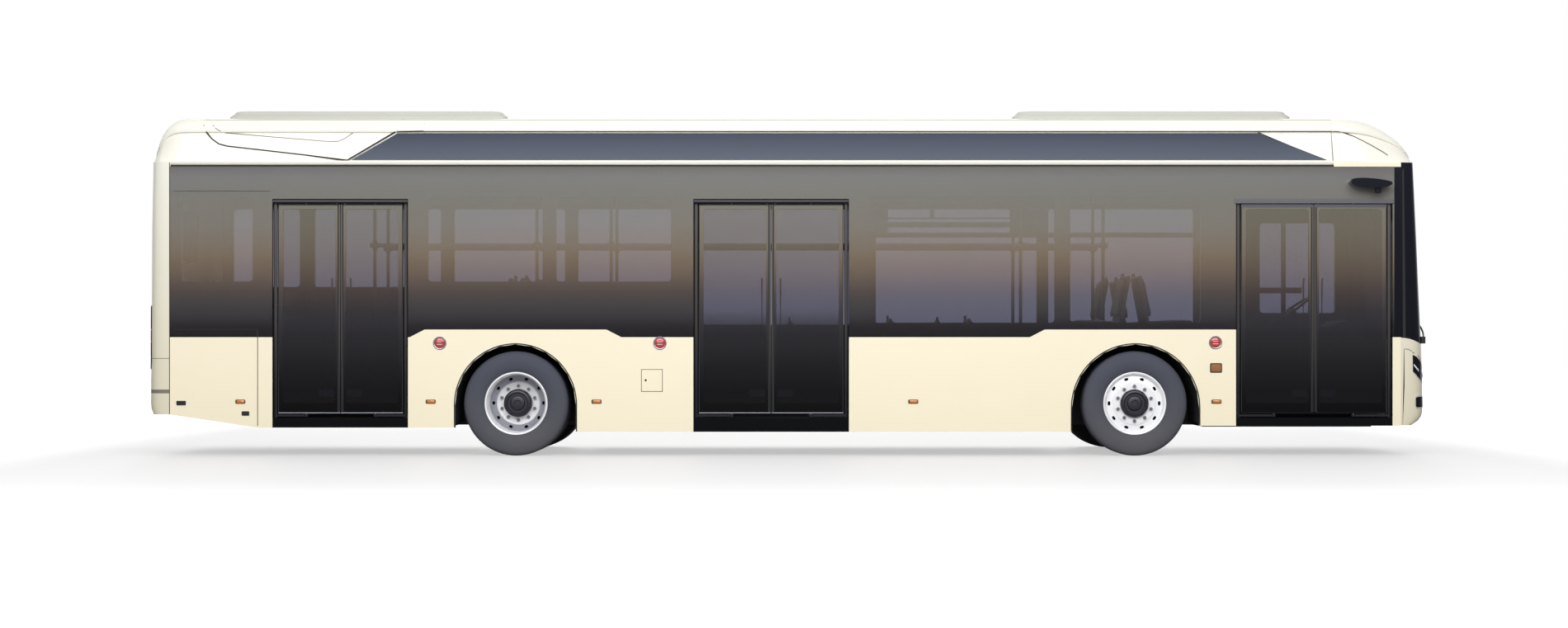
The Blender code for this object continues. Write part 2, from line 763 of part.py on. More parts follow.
COVER_LENGTH = 2.675
Cover = namedtuple("Cover", "name back slope_back slope_front")
COVERS = (
    # name, back end, how far the top stands in at the back and at the front
    Cover("roof_cover_rear", ROOF_BACK + 0.177, 0.065, 0.113),
    Cover("roof_cover_front", ROOF_FRONT - 0.338 - COVER_LENGTH, 0.090, 0.090),
)
COVER_TOP = 3.29
COVER_HALF = 0.95
COVER_LIP = 0.03
COVER_EDGE = 0.02


def build_covers():
    """Low housings for batteries and air conditioning on the roof."""
    foot = ROOF_TOP + GAP
    made = []
    for cover in COVERS:
        front = cover.back + COVER_LENGTH
        top_back, top_front = cover.back + cover.slope_back, front - cover.slope_front
        levels = (
            (foot, cover.back, front, COVER_HALF),
            (foot + COVER_LIP, cover.back, front, COVER_HALF),
            (COVER_TOP - COVER_EDGE, top_back - COVER_EDGE, top_front + COVER_EDGE, COVER_HALF - COVER_LIP),
            (COVER_TOP, top_back, top_front, COVER_HALF - 2 * COVER_LIP),
        )
        sections = []
        for height, back, front, half in levels:
            plan = soft_rectangle((back, -half), (front, half), 3 * COVER_LIP)
            sections.append([(x, y, height) for x, y in plan])
        made.append(loft(cover.name, sections))
    return made


FAIRING_THICK = 0.010
FAIRING_BACK = (REAR_AXLE_X - 1.553, REAR_AXLE_X - 1.128)
FAIRING_AHEAD = (ROOF_FRONT - 0.068, ROOF_FRONT - 0.706)
FAIRING_EDGE_SHARE = 0.02


def build_fairings():
    """Slanted side panels of the roof, one plate a side between two rails."""
    made = []
    run, rise = FAIRING_HEAD - FAIRING_FOOT, FAIRING_TOP - FAIRING_BOTTOM
    slope = math.hypot(run, rise)
    normal = (rise / slope, -run / slope)
    for side, name in ((-1, "right_fairing"), (1, "left_fairing")):
        sections = []
        for depth in (GAP, FAIRING_THICK):
            ring = []
            for share, ends in ((FAIRING_EDGE_SHARE, 0), (1 - FAIRING_EDGE_SHARE, 1)):
                y = FAIRING_FOOT + run * share + normal[0] * depth
                z = FAIRING_BOTTOM + rise * share + normal[1] * depth
                pair = [(FAIRING_BACK[ends], side * y, z), (FAIRING_AHEAD[ends], side * y, z)]
                ring += pair if ends == 0 else reversed(pair)
            sections.append(ring)
        made.append(loft(name, sections))
    return made


# Camera wings and wipers

CAMERA_STATIONS = (
    # distance behind the side's front, half height, reach from the side, drop below the glass top
    (0.491, 0.028, 0.070, 0.185),
    (0.440, 0.060, 0.125, 0.180),
    (0.300, 0.068, 0.145, 0.183),
    (0.180, 0.050, 0.145, 0.190),
    (0.111, 0.020, 0.110, 0.200),
)


def build_cameras():
    """Camera pods that stand out from the head of each side in place of mirrors."""
    made = []
    for side, name in ((-1, "camera_right"), (1, "camera_left")):
        sections = []
        for behind, half, reach, drop in CAMERA_STATIONS:
            x, middle = SIDE_FRONT - behind, GLASS_TOP - drop
            outer = HALF_WIDTH + reach
            near = HALF_WIDTH + GAP
            ring = [(near, middle - half / 2), (outer - half, middle - half), (outer, middle)]
            ring += [(outer - half, middle + half), (near, middle + half / 2)]
            sections.append([(x, side * y, z) for y, z in ring])
        made.append(loft(name, sections))
    return made


WIPER_FOOT = 1.066
WIPER_BLOCK = 0.064
WIPER_RISE = 0.198
WIPER_OFF = 0.004
WIPER_TIP = 0.010
WIPER_BAR = 0.022
WIPER_SPAN = 0.62


def wiper_side_view():
    """Side view of the wipers: a block ahead of the panel, arms leaning back to the glass."""
    low, high = WIPER_FOOT, WIPER_FOOT + WIPER_RISE
    panel = max(reach for height, reach in FRONT_LEVELS if height > low - WIPER_RISE) + WIPER_OFF
    glass = SCREEN_LEVELS[0][1] + WIPER_OFF
    shoulder = low + WIPER_BLOCK
    return [
        (panel, low),
        (HALF_LENGTH, low),
        (HALF_LENGTH, shoulder),
        ((HALF_LENGTH + glass + WIPER_TIP) / 2, (shoulder + high) / 2),
        (glass + WIPER_TIP, high),
        (glass, high),
        (glass, shoulder),
        (panel, shoulder - WIPER_TIP),
    ]


def build_wipers():
    """Two arms on one linkage bar that lie along the foot of the windscreen."""
    low, high = WIPER_FOOT, WIPER_FOOT + WIPER_RISE
    spindle = 2 * WIPER_BAR
    outline = [
        (-WIPER_SPAN, low),
        (WIPER_SPAN, low),
        (WIPER_SPAN, low + WIPER_BAR),
        (spindle, low + WIPER_BAR),
        (spindle + WIPER_BAR, high - WIPER_BAR),
        (WIPER_SPAN - WIPER_BAR, high - WIPER_BAR),
        (WIPER_SPAN - WIPER_BAR, high),
        (-WIPER_SPAN / 2, high),
        (-WIPER_SPAN / 2, high - WIPER_BAR),
        (spindle, high - WIPER_BAR),
        (0, low + WIPER_BAR),
        (-WIPER_SPAN, low + WIPER_BAR),
    ]
    wipers = prism("wipers", outline, SIDE_FRONT, HALF_LENGTH + OVERRUN, "X")
    side_view = prism("side view", wiper_side_view(), -WIPER_SPAN - OVERRUN, WIPER_SPAN + OVERRUN, "Y")
    return [combine(wipers, "INTERSECT", side_view)]


# Small flap in the right side

FLAP_SIZE = 0.193
FLAP_BEHIND_DOOR = 0.295
FLAP_FRONT = DOORS[1].centre - DOORS[1].width / 2 - FLAP_BEHIND_DOOR
FLAP_BACK = FLAP_FRONT - FLAP_SIZE
FLAP_BOTTOM = 0.612
FLAP_TOP = 0.815
FLAP = 0.012
POCKET = 0.045


def build_flap(wall):
    """Square service flap over a blind pocket, hinged at its front edge."""
    low = (FLAP_BACK - RUN, -HALF_WIDTH - OVERRUN, FLAP_BOTTOM - RUN)
    high = (FLAP_FRONT + RUN, -HALF_WIDTH + POCKET, FLAP_TOP + RUN)
    combine(wall, "DIFFERENCE", box("pocket", low, high))
    low, high = (FLAP_BACK, -HALF_WIDTH, FLAP_BOTTOM), (FLAP_FRONT, -HALF_WIDTH + FLAP, FLAP_TOP)
    plate = box("charge_flap", low, high)
    return set_origin(plate, (FLAP_FRONT, -HALF_WIDTH, (FLAP_BOTTOM + FLAP_TOP) / 2))


# Axles and knuckles

FRONT_RISER = (0.70, 0.82)
FRONT_ARM = (0.44, 0.55)
REAR_RISER = (0.54, 0.62)
REAR_RISER_TOP = 0.60
REAR_BEAM_HALF = 0.10
STUB_RADIUS = 0.10
STUB_END = 0.90
SPINDLE_END_REAR = 1.00
SPINDLE_START = 1.06
SPINDLE_END_FRONT = 1.165
WEB_NEAR = 0.05
WEB_FAR = 0.075
WEB_HALF = 0.04


def build_front_axle():
    """Dropped beam that rises behind the wheels and ends in two bored kingpin bosses."""
    near, far = FRONT_RISER
    low, high = FRONT_ARM
    half = [
        (near, BEAM_BOTTOM),
        (far, BEAM_BOTTOM + far - near),
        (far, low),
        (KINGPIN_Y - BOSS_RADIUS / 2, low),
        (KINGPIN_Y - BOSS_RADIUS / 2, high),
        (far, high),
        (near, high - far + near),
        (near, BEAM_TOP),
    ]
    ends = (FRONT_AXLE_X - BEAM_HALF, FRONT_AXLE_X + BEAM_HALF)
    beam = prism("front_axle", mirrored(half), *ends, "X")
    for side in (-1, 1):
        spot = (FRONT_AXLE_X, side * KINGPIN_Y)
        boss = prism("boss", circle(spot, BOSS_RADIUS, 2 * PIN_STEPS), BOSS_BOTTOM, BOSS_TOP, "Z")
        combine(beam, "UNION", boss)
    for side in (-1, 1):
        spot = (FRONT_AXLE_X, side * KINGPIN_Y)
        outline = circle(spot, KINGPIN_BORE, PIN_STEPS)
        bore = prism("bore", outline, BOSS_BOTTOM - OVERRUN, BOSS_TOP + OVERRUN, "Z")
        combine(beam, "DIFFERENCE", bore)
    return [beam]


def build_rear_axle():
    """Portal axle: a low bridge between two hub housings that carry the stubs."""
    near, far = REAR_RISER
    half = [(near, BEAM_BOTTOM), (far, BEAM_BOTTOM + far - near), (far, REAR_RISER_TOP)]
    half += [(near, REAR_RISER_TOP), (near, BEAM_TOP)]
    ends = (REAR_AXLE_X - REAR_BEAM_HALF, REAR_AXLE_X + REAR_BEAM_HALF)
    axle = prism("rear_axle", mirrored(half), *ends, "X")
    for side in (-1, 1):
        profile = [
            (near + HOUSE, 0),
            (near + HOUSE, STUB_RADIUS),
            (STUB_END, STUB_RADIUS),
            (STUB_END, SPINDLE_RADIUS),
            (SPINDLE_END_REAR, SPINDLE_RADIUS),
            (SPINDLE_END_REAR, 0),
        ]
        stub = turned("stub", profile, (REAR_AXLE_X, 0, TYRE_RADIUS), side, RIM_STEPS)
        combine(axle, "UNION", stub)
    return [axle]


def build_knuckle(side, name):
    """Fork round a kingpin boss, with its pin and the wheel spindle."""
    x, y = FRONT_AXLE_X, side * KINGPIN_Y
    low, high = BOSS_BOTTOM - LUG_GAP - LUG, BOSS_TOP + LUG_GAP + LUG
    near, far = y + side * WEB_NEAR, y + side * WEB_FAR
    web = box(name, (x - WEB_HALF, min(near, far), low), (x + WEB_HALF, max(near, far), high))
    for foot in (low, high - LUG):
        ring = arc((x, y), BOSS_RADIUS, 180, 360, 8) if side > 0 else arc((x, y), BOSS_RADIUS, 0, 180, 8)
        middle = (near + far) / 2
        corners = [(x + WEB_HALF, middle), (x - WEB_HALF, middle)]
        corners = corners if side > 0 else corners[::-1]
        combine(web, "UNION", prism("lug", [*ring, *corners], foot, foot + LUG, "Z"))
    pin = prism("pin", circle((x, y), KINGPIN_RADIUS, PIN_STEPS), low + LUG / 2, high - LUG / 2, "Z")
    profile = [(SPINDLE_START, 0), (SPINDLE_START, SPINDLE_RADIUS), (SPINDLE_END_FRONT, SPINDLE_RADIUS)]
    profile.append((SPINDLE_END_FRONT, 0))
    spindle = turned("spindle", profile, (x, 0, TYRE_RADIUS), side, RIM_STEPS)
    combine(web, "UNION", pin, spindle)
    return set_origin(web, (x, y, TYRE_RADIUS))


# Wheels, whose profiles run as (axial, radius) outward from the wheel's middle

TYRE_PROFILE = (
    # axial, radius
    (-BEAD_HALF, RIM_SEAT),
    (-BEAD_HALF, 0.2995),
    (-TYRE_HALF, 0.385),
    (-0.130, 0.455),
    (-0.095, TYRE_RADIUS),
    (0.095, TYRE_RADIUS),
    (0.130, 0.455),
    (TYRE_HALF, 0.385),
    (BEAD_HALF, 0.2995),
    (BEAD_HALF, RIM_SEAT),
)
HUB_BORE = SPINDLE_RADIUS + BEARING_GAP
BARREL_INSIDE = RIM_BARREL - RIM_WALL
HUB_CHAMFER = 0.012
DISC = 0.014
DISC_FRONT = 0.070
HUB_END_FRONT = 0.130
HUB_FOOT_FRONT = 0.016
DISC_REAR = 0.026
HUB_END_REAR = 0.140
HUB_FOOT_REAR = -0.030
BORE_SPARE = 0.008
HAND_HOLE_FRONT = (0.247, 0.016)
HAND_HOLE_REAR = (0.220, 0.022)


def flat_radius(radius):
    """Corner radius of a wheel polygon whose flats stand at a radius."""
    return radius / math.cos(math.pi / WHEEL_STEPS)


def tyre(name, centre):
    """Tyre whose polygon stands on a flat."""
    profile = [(axial, flat_radius(radius)) for axial, radius in TYRE_PROFILE]
    made = turned(name, profile, centre, 1, WHEEL_STEPS, 180 / WHEEL_STEPS)
    return set_origin(made, centre)


def seat_points(middle):
    """Rim's outer contour under one tyre, from its inner flange to its outer one."""
    lip = BEAD_HALF + GAP
    return [
        (middle - RIM_HALF, RIM_FLANGE),
        (middle - lip, RIM_FLANGE),
        (middle - lip, RIM_BARREL),
        (middle + lip, RIM_BARREL),
        (middle + lip, RIM_FLANGE),
        (middle + RIM_HALF, RIM_FLANGE),
    ]


def rim(name, centre, outward, middles, disc, hub_end, hub_foot, hand_hole, spindle_end):
    """Wheel rim with its disc and hub, bored from inside for the spindle."""
    ends = (middles[0] - RIM_HALF, middles[-1] + RIM_HALF)
    profile = [point for middle in middles for point in seat_points(middle)]
    profile += [
        (ends[1], BARREL_INSIDE),
        (disc, BARREL_INSIDE),
        (disc, HUB_RADIUS),
        (hub_end - HUB_CHAMFER, HUB_RADIUS),
        (hub_end, HUB_RADIUS - HUB_CHAMFER),
        (hub_end, 0),
        (spindle_end + BORE_SPARE, 0),
        (spindle_end + BORE_SPARE, HUB_BORE),
        (hub_foot, HUB_BORE),
        (hub_foot, HUB_RADIUS - HUB_CHAMFER),
        (disc - DISC, HUB_RADIUS - HUB_CHAMFER),
        (disc - DISC, BARREL_INSIDE),
        (ends[0], BARREL_INSIDE),
    ]
    made = turned(name, profile, centre, outward, RIM_STEPS)
    circle_radius, hole_radius = hand_hole
    face = centre[1] + outward * disc
    for i in range(HAND_HOLES):
        angle = 2 * math.pi * (i + 0.5) / HAND_HOLES
        spot = (centre[0] + circle_radius * math.sin(angle), centre[2] + circle_radius * math.cos(angle))
        hole = prism("hole", circle(spot, hole_radius, HOLE_STEPS), face - HOUSE, face + HOUSE, "Y")
        combine(made, "DIFFERENCE", hole)
    return set_origin(made, centre)


def build_wheels():
    """Two steered single wheels in front and two driven double wheels behind."""
    made = []
    for side, label in ((-1, "right"), (1, "left")):
        centre = (FRONT_AXLE_X, side * FRONT_WHEEL_Y, TYRE_RADIUS)
        spindle = SPINDLE_END_FRONT - FRONT_WHEEL_Y
        made.append(tyre(f"front_tyre_{label}", centre))
        made.append(
            rim(f"front_rim_{label}", centre, side, (0,), DISC_FRONT, HUB_END_FRONT, HUB_FOOT_FRONT,
                HAND_HOLE_FRONT, spindle)
        )
        middle = (REAR_AXLE_X, side * DUAL_Y, TYRE_RADIUS)
        spindle = SPINDLE_END_REAR - DUAL_Y
        for offset, place in ((DUAL_OFFSET, "outer"), (-DUAL_OFFSET, "inner")):
            centre = (REAR_AXLE_X, side * (DUAL_Y + offset), TYRE_RADIUS)
            made.append(tyre(f"rear_tyre_{place}_{label}", centre))
        made.append(
            rim(f"rear_rim_{label}", middle, side, (-DUAL_OFFSET, DUAL_OFFSET), DISC_REAR, HUB_END_REAR,
                HUB_FOOT_REAR, HAND_HOLE_REAR, spindle)
        )
    return made


# Doors: each leaf hangs on two arms at its middle and is guided by a pin at its meeting edge

PIN_PAST_ARM = 0.0025
PIN_ROOT = 0.02
ROLLER_RADIUS = 0.010
ROLLER_TOP = 0.022
WEB_DEPTH = 0.004


def arm_outline(post_x, pivot_x):
    """Arm from the post to the pivot with a round eye."""
    sign = 1 if pivot_x > post_x else -1
    tilt = math.degrees(math.asin(ARM_HALF / EYE_RADIUS))
    eye = arc((0, 0), EYE_RADIUS, -180 + tilt, 180 - tilt, PIN_STEPS)
    points = [(pivot_x + sign * x, DOOR_Y + y) for x, y in eye]
    return [*points, (post_x, DOOR_Y + ARM_HALF), (post_x, DOOR_Y - ARM_HALF)]


def build_door(door):
    """Posts with arms, and leaves with their glass, of one double door."""
    made = []
    for sign, label in ((1, "aft"), (-1, "fore")):
        post_x = door.centre - sign * (door.width / 2 - POST_TO_JAMB)
        start = post_x + sign * POST_TO_LEAF
        end = door.centre - sign * LEAF_MEET
        guide_x = end - sign * PIN_TO_EDGE
        pivot_x = (post_x + guide_x) / 2
        name = f"door_{door.name}_post_{label}"
        foot, head = FLOOR_TOP + POST_END, DOOR_TOP - POST_END
        post = prism(name, circle((post_x, DOOR_Y), POST_RADIUS, PIN_STEPS), foot, head, "Z")
        hole = circle((pivot_x, DOOR_Y), PIN_HOLE, PIN_STEPS)
        arm_heights = (LEAF_TOP + ARM_ABOVE, LEAF_BOTTOM - ARM_ABOVE - ARM_THICK)
        for height in arm_heights:
            arm = prism("arm", arm_outline(post_x, pivot_x), height, height + ARM_THICK, "Z", [hole])
            combine(post, "UNION", arm)
        made.append(set_origin(post, (post_x, DOOR_Y, foot)))
        made.append(build_leaf(f"door_{door.name}_leaf_{label}", start, end, pivot_x, guide_x, arm_heights))
    return made


def build_leaf(name, start, end, pivot_x, guide_x, arm_heights):
    """Door leaf: a frame round a thin pane, with its pivots and its guide roller."""
    left, right = min(start, end), max(start, end)
    outer, inner = DOOR_Y - LEAF / 2, DOOR_Y + LEAF / 2
    leaf = box(name, (left, outer, LEAF_BOTTOM), (right, inner, LEAF_TOP))
    window_low = (left + LEAF_FRAME, LEAF_BOTTOM + LEAF_WINDOW_FOOT)
    window = soft_rectangle(window_low, (right - LEAF_FRAME, LEAF_TOP - LEAF_FRAME), WINDOW_CORNER)
    rebate = prism("rebate", window, outer - OVERRUN, outer + WEB_DEPTH, "Y")
    recess = prism("recess", window, outer + WEB_DEPTH + LEAF_WEB, inner + OVERRUN, "Y")
    combine(leaf, "DIFFERENCE", rebate, recess)
    upper, lower = arm_heights
    pins = (
        (pivot_x, PIN_RADIUS, LEAF_TOP - PIN_ROOT, upper + ARM_THICK + PIN_PAST_ARM),
        (pivot_x, PIN_RADIUS, lower - PIN_PAST_ARM, LEAF_BOTTOM + PIN_ROOT),
        (guide_x, ROLLER_RADIUS, LEAF_TOP - PIN_ROOT, LEAF_TOP + ROLLER_TOP),
    )
    for x, radius, low, high in pins:
        combine(leaf, "UNION", prism("pin", circle((x, DOOR_Y), radius, PIN_STEPS), low, high, "Z"))
    return set_origin(leaf, (pivot_x, DOOR_Y, LEAF_BOTTOM))


# Seats, each row a leg, a cushion and a leaning back in one profile

SEAT_PLINTH = 0.03
SEAT_PAD = 0.07
SEAT_DEPTH = 0.44
SEAT_BACK = 0.05
SEAT_LEAN = 0.09
SEAT_LEG_BACK = 0.12
SEAT_LEG_FRONT = 0.30
SEAT_SPLIT = 0.02
HOUSE_TOP = ARCH_TOP + HOUSE + GAP
SEAT_SIDE = INNER_FACE - 3 * RUN
SEAT_INSIDE = 0.50
HOUSE_SEAT_INSIDE = HOUSE_INSIDE + HOUSE
SEAT_PITCH = 0.75
PAIR_HALF = 0.13
LAST_ROW_BEHIND = 1.492
FRONT_PAIR = ((FRONT_AXLE_X - PAIR_HALF, -1), (FRONT_AXLE_X + PAIR_HALF, 1))
REAR_PAIR = ((REAR_AXLE_X - PAIR_HALF, -1), (REAR_AXLE_X + PAIR_HALF, 1))
RIGHT_ROWS = tuple((FRONT_AXLE_X - LAST_ROW_BEHIND - i * SEAT_PITCH, 1) for i in (1, 0))
LEFT_ROWS = tuple((FRONT_AXLE_X - 0.2 - LAST_ROW_BEHIND - i * SEAT_PITCH, 1) for i in (2, 1, 0))
BENCH_ROW = ((SIDE_BACK + 0.222, 1),)
SeatGroup = namedtuple("SeatGroup", "name base cushion back low high split rows")
SEAT_GROUPS = (
    # name, base height, cushion and back heights above it, y range, split in two, rows of (x, facing)
    SeatGroup("seats_right_front", HOUSE_TOP, 0.20, 0.62, -SEAT_SIDE, -HOUSE_SEAT_INSIDE, False, FRONT_PAIR),
    SeatGroup("seats_left_front", HOUSE_TOP, 0.20, 0.62, HOUSE_SEAT_INSIDE, SEAT_SIDE, False, FRONT_PAIR),
    SeatGroup("seats_right_rear", HOUSE_TOP, 0.20, 0.60, -SEAT_SIDE, -HOUSE_SEAT_INSIDE, False, REAR_PAIR),
    SeatGroup("seats_left_rear", HOUSE_TOP, 0.20, 0.60, HOUSE_SEAT_INSIDE, SEAT_SIDE, False, REAR_PAIR),
    SeatGroup("seats_left_middle", FLOOR_TOP + GAP, 0.45, 0.94, SEAT_INSIDE, SEAT_SIDE, True, LEFT_ROWS),
    SeatGroup("seats_right_middle", FLOOR_TOP + GAP, 0.45, 0.94, -SEAT_SIDE, -SEAT_INSIDE, True, RIGHT_ROWS),
    SeatGroup("rear_bench", PODIUM_TOP + GAP, 0.42, 0.86, -SEAT_SIDE, PODIUM_LEFT - RUN, True, BENCH_ROW),
)


def seat_outline(x, facing, group):
    """Side view of one seat, from the leg's foot round the cushion and the back."""
    foot = group.base + SEAT_PLINTH / 2
    seat = group.base + group.cushion
    top = group.base + group.back
    points = [
        (SEAT_LEG_BACK, foot),
        (SEAT_LEG_FRONT, foot),
        (SEAT_LEG_FRONT, seat - SEAT_PAD),
        (SEAT_DEPTH, seat - SEAT_PAD / 2),
        (SEAT_DEPTH, seat),
        (SEAT_BACK, seat - SEAT_PAD / 4),
        (SEAT_BACK - SEAT_LEAN, top - SEAT_BACK / 2),
        (SEAT_BACK / 2 - SEAT_LEAN, top),
        (-SEAT_LEAN, top - SEAT_BACK / 2),
        (0, seat - SEAT_PAD),
        (SEAT_LEG_BACK, seat - SEAT_PAD),
    ]
    return [(x + facing * u, z) for u, z in points]


def build_seats():
    """Seat groups, each joined by the plinth that it is bolted to."""
    made = []
    for group in SEAT_GROUPS:
        reach = [x + facing * u for x, facing in group.rows for u in (SEAT_LEG_BACK / 2, SEAT_LEG_FRONT)]
        plinth_top = (max(reach), group.high, group.base + SEAT_PLINTH)
        plinth = box(group.name, (min(reach), group.low, group.base), plinth_top)
        for x, facing in group.rows:
            seat = prism("seat", seat_outline(x, facing, group), group.low + RUN, group.high - RUN, "Y")
            combine(plinth, "UNION", seat)
        if group.split:
            middle = (group.low + group.high) / 2
            ends = [x for x, _ in group.rows]
            low = (min(ends) - SEAT_DEPTH, middle - SEAT_SPLIT / 2, group.base + group.cushion - 2 * SEAT_PAD)
            high = (max(ends) + 2 * SEAT_DEPTH, middle + SEAT_SPLIT / 2, group.base + group.back + OVERRUN)
            combine(plinth, "DIFFERENCE", box("split", low, high))
        made.append(plinth)
    return made


# Driver's cab

CAB_BACK = SIDE_FRONT - 1.58
CAB_INSIDE = 0.28
CAB_FLOOR = 0.60
CAB_WALL = 0.03
CAB_STEP = 0.004
CAB_WALL_TOP = 2.20
CAB_GATE_TOP = 1.25
CAB_GATE_END = SIDE_FRONT - 0.55
CAB_SEAT_X = CAB_BACK + 0.28
CAB_SEAT = SeatGroup("driver_seat", CAB_FLOOR - SEAT_PLINTH, 0.49, 1.10, 0.50, 1.00, False, ())
DASH_FRONT = SIDE_FRONT - 0.04
DASH_TOP = 1.30
WHEEL_CENTRE = (CAB_GATE_END - 0.12, (CAB_SEAT.low + CAB_SEAT.high) / 2, DASH_TOP + 0.10)
STEERING_RADIUS = 0.225
STEERING_TUBE = 0.024
STEERING_TILT = 35


def build_cab():
    """Raised cab floor, rear wall with its window, gate, dashboard, seat and steering wheel."""
    floor_foot = FLOOR_TOP + GAP
    left = INNER_FACE - RUN
    cab = box("driver_cab", (CAB_BACK, CAB_INSIDE, floor_foot), (DASH_FRONT, left, CAB_FLOOR))
    border = 3 * CAB_WALL
    window_high = (left - border, CAB_WALL_TOP - border)
    window = soft_rectangle((CAB_INSIDE + border, CAB_GATE_TOP), window_high, WINDOW_CORNER)
    wall = rectangle((CAB_INSIDE + 2 * CAB_STEP, CAB_FLOOR - FLOOR), (left - CAB_STEP, CAB_WALL_TOP))
    back = prism("wall", wall, CAB_BACK + CAB_STEP, CAB_BACK + CAB_WALL, "X", [window])
    gate_low = (CAB_BACK + 2 * CAB_STEP, CAB_INSIDE + CAB_STEP, CAB_FLOOR - FLOOR / 2)
    gate = box("gate", gate_low, (CAB_GATE_END, CAB_INSIDE + CAB_WALL, CAB_GATE_TOP))
    dash = [
        (CAB_GATE_END + 4 * CAB_WALL, CAB_FLOOR - FLOOR),
        (DASH_FRONT - CAB_STEP, CAB_FLOOR - FLOOR),
        (DASH_FRONT - CAB_STEP, DASH_TOP - 3 * CAB_WALL),
        (DASH_FRONT - 6 * CAB_WALL, DASH_TOP),
        (CAB_GATE_END + 6 * CAB_WALL, DASH_TOP - 2 * CAB_WALL),
        (CAB_GATE_END + 4 * CAB_WALL, DASH_TOP - 6 * CAB_WALL),
    ]
    dash_block = prism("dash", dash, CAB_INSIDE - 5 * CAB_WALL, left - CAB_STEP, "Y")
    seat = prism("seat", seat_outline(CAB_SEAT_X, 1, CAB_SEAT), CAB_SEAT.low, CAB_SEAT.high, "Y")
    x, y, z = WHEEL_CENTRE
    ring = prism(
        "ring", circle((0, 0), STEERING_RADIUS, 2 * PIN_STEPS), -STEERING_TUBE / 2, STEERING_TUBE / 2, "Z",
        [circle((0, 0), STEERING_RADIUS - STEERING_TUBE, 2 * PIN_STEPS)]
    )
    spoke = box(
        "spoke", (-STEERING_TUBE, -STEERING_RADIUS + STEERING_TUBE / 2, -STEERING_TUBE / 3),
        (STEERING_TUBE, STEERING_RADIUS - STEERING_TUBE / 2, STEERING_TUBE / 3)
    )
    for piece in (ring, spoke):
        tilt = Matrix.Rotation(-math.radians(STEERING_TILT), 4, "Y")
        piece.data.transform(Matrix.Translation(WHEEL_CENTRE) @ tilt)
    column_foot = (CAB_GATE_END + 6 * CAB_WALL, y, DASH_TOP - 4 * CAB_WALL)
    column = tube("column", (x, y, z), column_foot, STEERING_TUBE)
    return [combine(cab, "UNION", back, gate, dash_block, seat, ring, spoke, column)]


# Grab rails: floor to ceiling poles joined by two overhead rails and cross bars

POLE_RADIUS = 0.017
RAIL_RADIUS = 0.020
RAIL_HEIGHT = 2.02
RAIL_Y = 0.45
CROSS_RADIUS = 0.019
POLES_AHEAD_OF_REAR_AXLE = (-1.451, 0.129, 0.854)
POLES_AHEAD_OF_FRONT_AXLE = (-1.017, -0.212)
POLES = [REAR_AXLE_X + x for x in POLES_AHEAD_OF_REAR_AXLE]
POLES += [FRONT_AXLE_X + x for x in POLES_AHEAD_OF_FRONT_AXLE]
CROSS_BARS = (POLES[2], POLES[3])


def build_rails():
    """One welded grab rail frame along the aisle."""
    foot, head = FLOOR_TOP + GAP, CEILING - GAP
    start, end = min(POLES) - RAIL_RADIUS, max(POLES) + RAIL_RADIUS
    ends = [((start, y, RAIL_HEIGHT), (end, y, RAIL_HEIGHT)) for y in (-RAIL_Y, RAIL_Y)]
    right, left = (tube("grab_rails", *pair, RAIL_RADIUS) for pair in ends)
    frame = combine(right, "UNION", left)
    for x in POLES:
        for y in (-RAIL_Y, RAIL_Y):
            combine(frame, "UNION", tube("pole", (x, y, foot), (x, y, head), POLE_RADIUS))
    for x in CROSS_BARS:
        bar_x = x + 3 * CROSS_RADIUS
        bar = tube("bar", (bar_x, -RAIL_Y, RAIL_HEIGHT), (bar_x, RAIL_Y, RAIL_HEIGHT), CROSS_RADIUS)
        combine(frame, "UNION", bar)
    return [frame]


# Colours, roughness and metallic value of each finish

Finish = namedtuple("Finish", "name colour roughness metallic")
CREAM = Finish("cream_paint", (0.93, 0.86, 0.68), 0.35, 0.0)
SLATE = Finish("slate_paint", (0.08, 0.10, 0.16), 0.4, 0.1)
SMOKED = Finish("smoked_glass", (0.03, 0.03, 0.035), 0.08, 0.0)
BLACK = Finish("black_metal", (0.01, 0.01, 0.012), 0.45, 0.2)
STEEL = Finish("wheel_steel", (0.72, 0.73, 0.75), 0.3, 0.9)
RUBBER = Finish("tyre_rubber", (0.06, 0.06, 0.065), 0.85, 0.0)
INSIDE = Finish("interior_grey", (0.25, 0.25, 0.26), 0.6, 0.0)
FABRIC = Finish("seat_cover", (0.05, 0.06, 0.09), 0.9, 0.0)
RAIL_METAL = Finish("rail_metal", (0.6, 0.6, 0.6), 0.3, 1.0)
PALE = Finish("cover_paint", (0.80, 0.79, 0.74), 0.5, 0.0)
FINISH_WORDS = (
    # word in the node's name, finish
    ("door_", BLACK), ("tyre", RUBBER), ("rim", STEEL), ("knuckle", BLACK), ("axle", BLACK),
    ("chassis", BLACK), ("glazing", SMOKED), ("windscreen", SMOKED), ("rear_window", SMOKED),
    ("fairing", SLATE), ("cover", PALE), ("camera", BLACK), ("wipers", BLACK), ("seats", FABRIC),
    ("bench", FABRIC), ("cab", INSIDE), ("floor", INSIDE), ("drive", BLACK), ("rails", RAIL_METAL),
)


def dress(target):
    """Gives a node its own material after the words in its name."""
    finish = next((finish for word, finish in FINISH_WORDS if word in target.name), CREAM)
    material = bpy.data.materials.new(f"{target.name}_{finish.name}")
    material.use_nodes = True
    shader = material.node_tree.nodes["Principled BSDF"]
    shader.inputs["Base Color"].default_value = (*finish.colour, 1)
    shader.inputs["Roughness"].default_value = finish.roughness
    shader.inputs["Metallic"].default_value = finish.metallic
    target.data.materials.append(material)


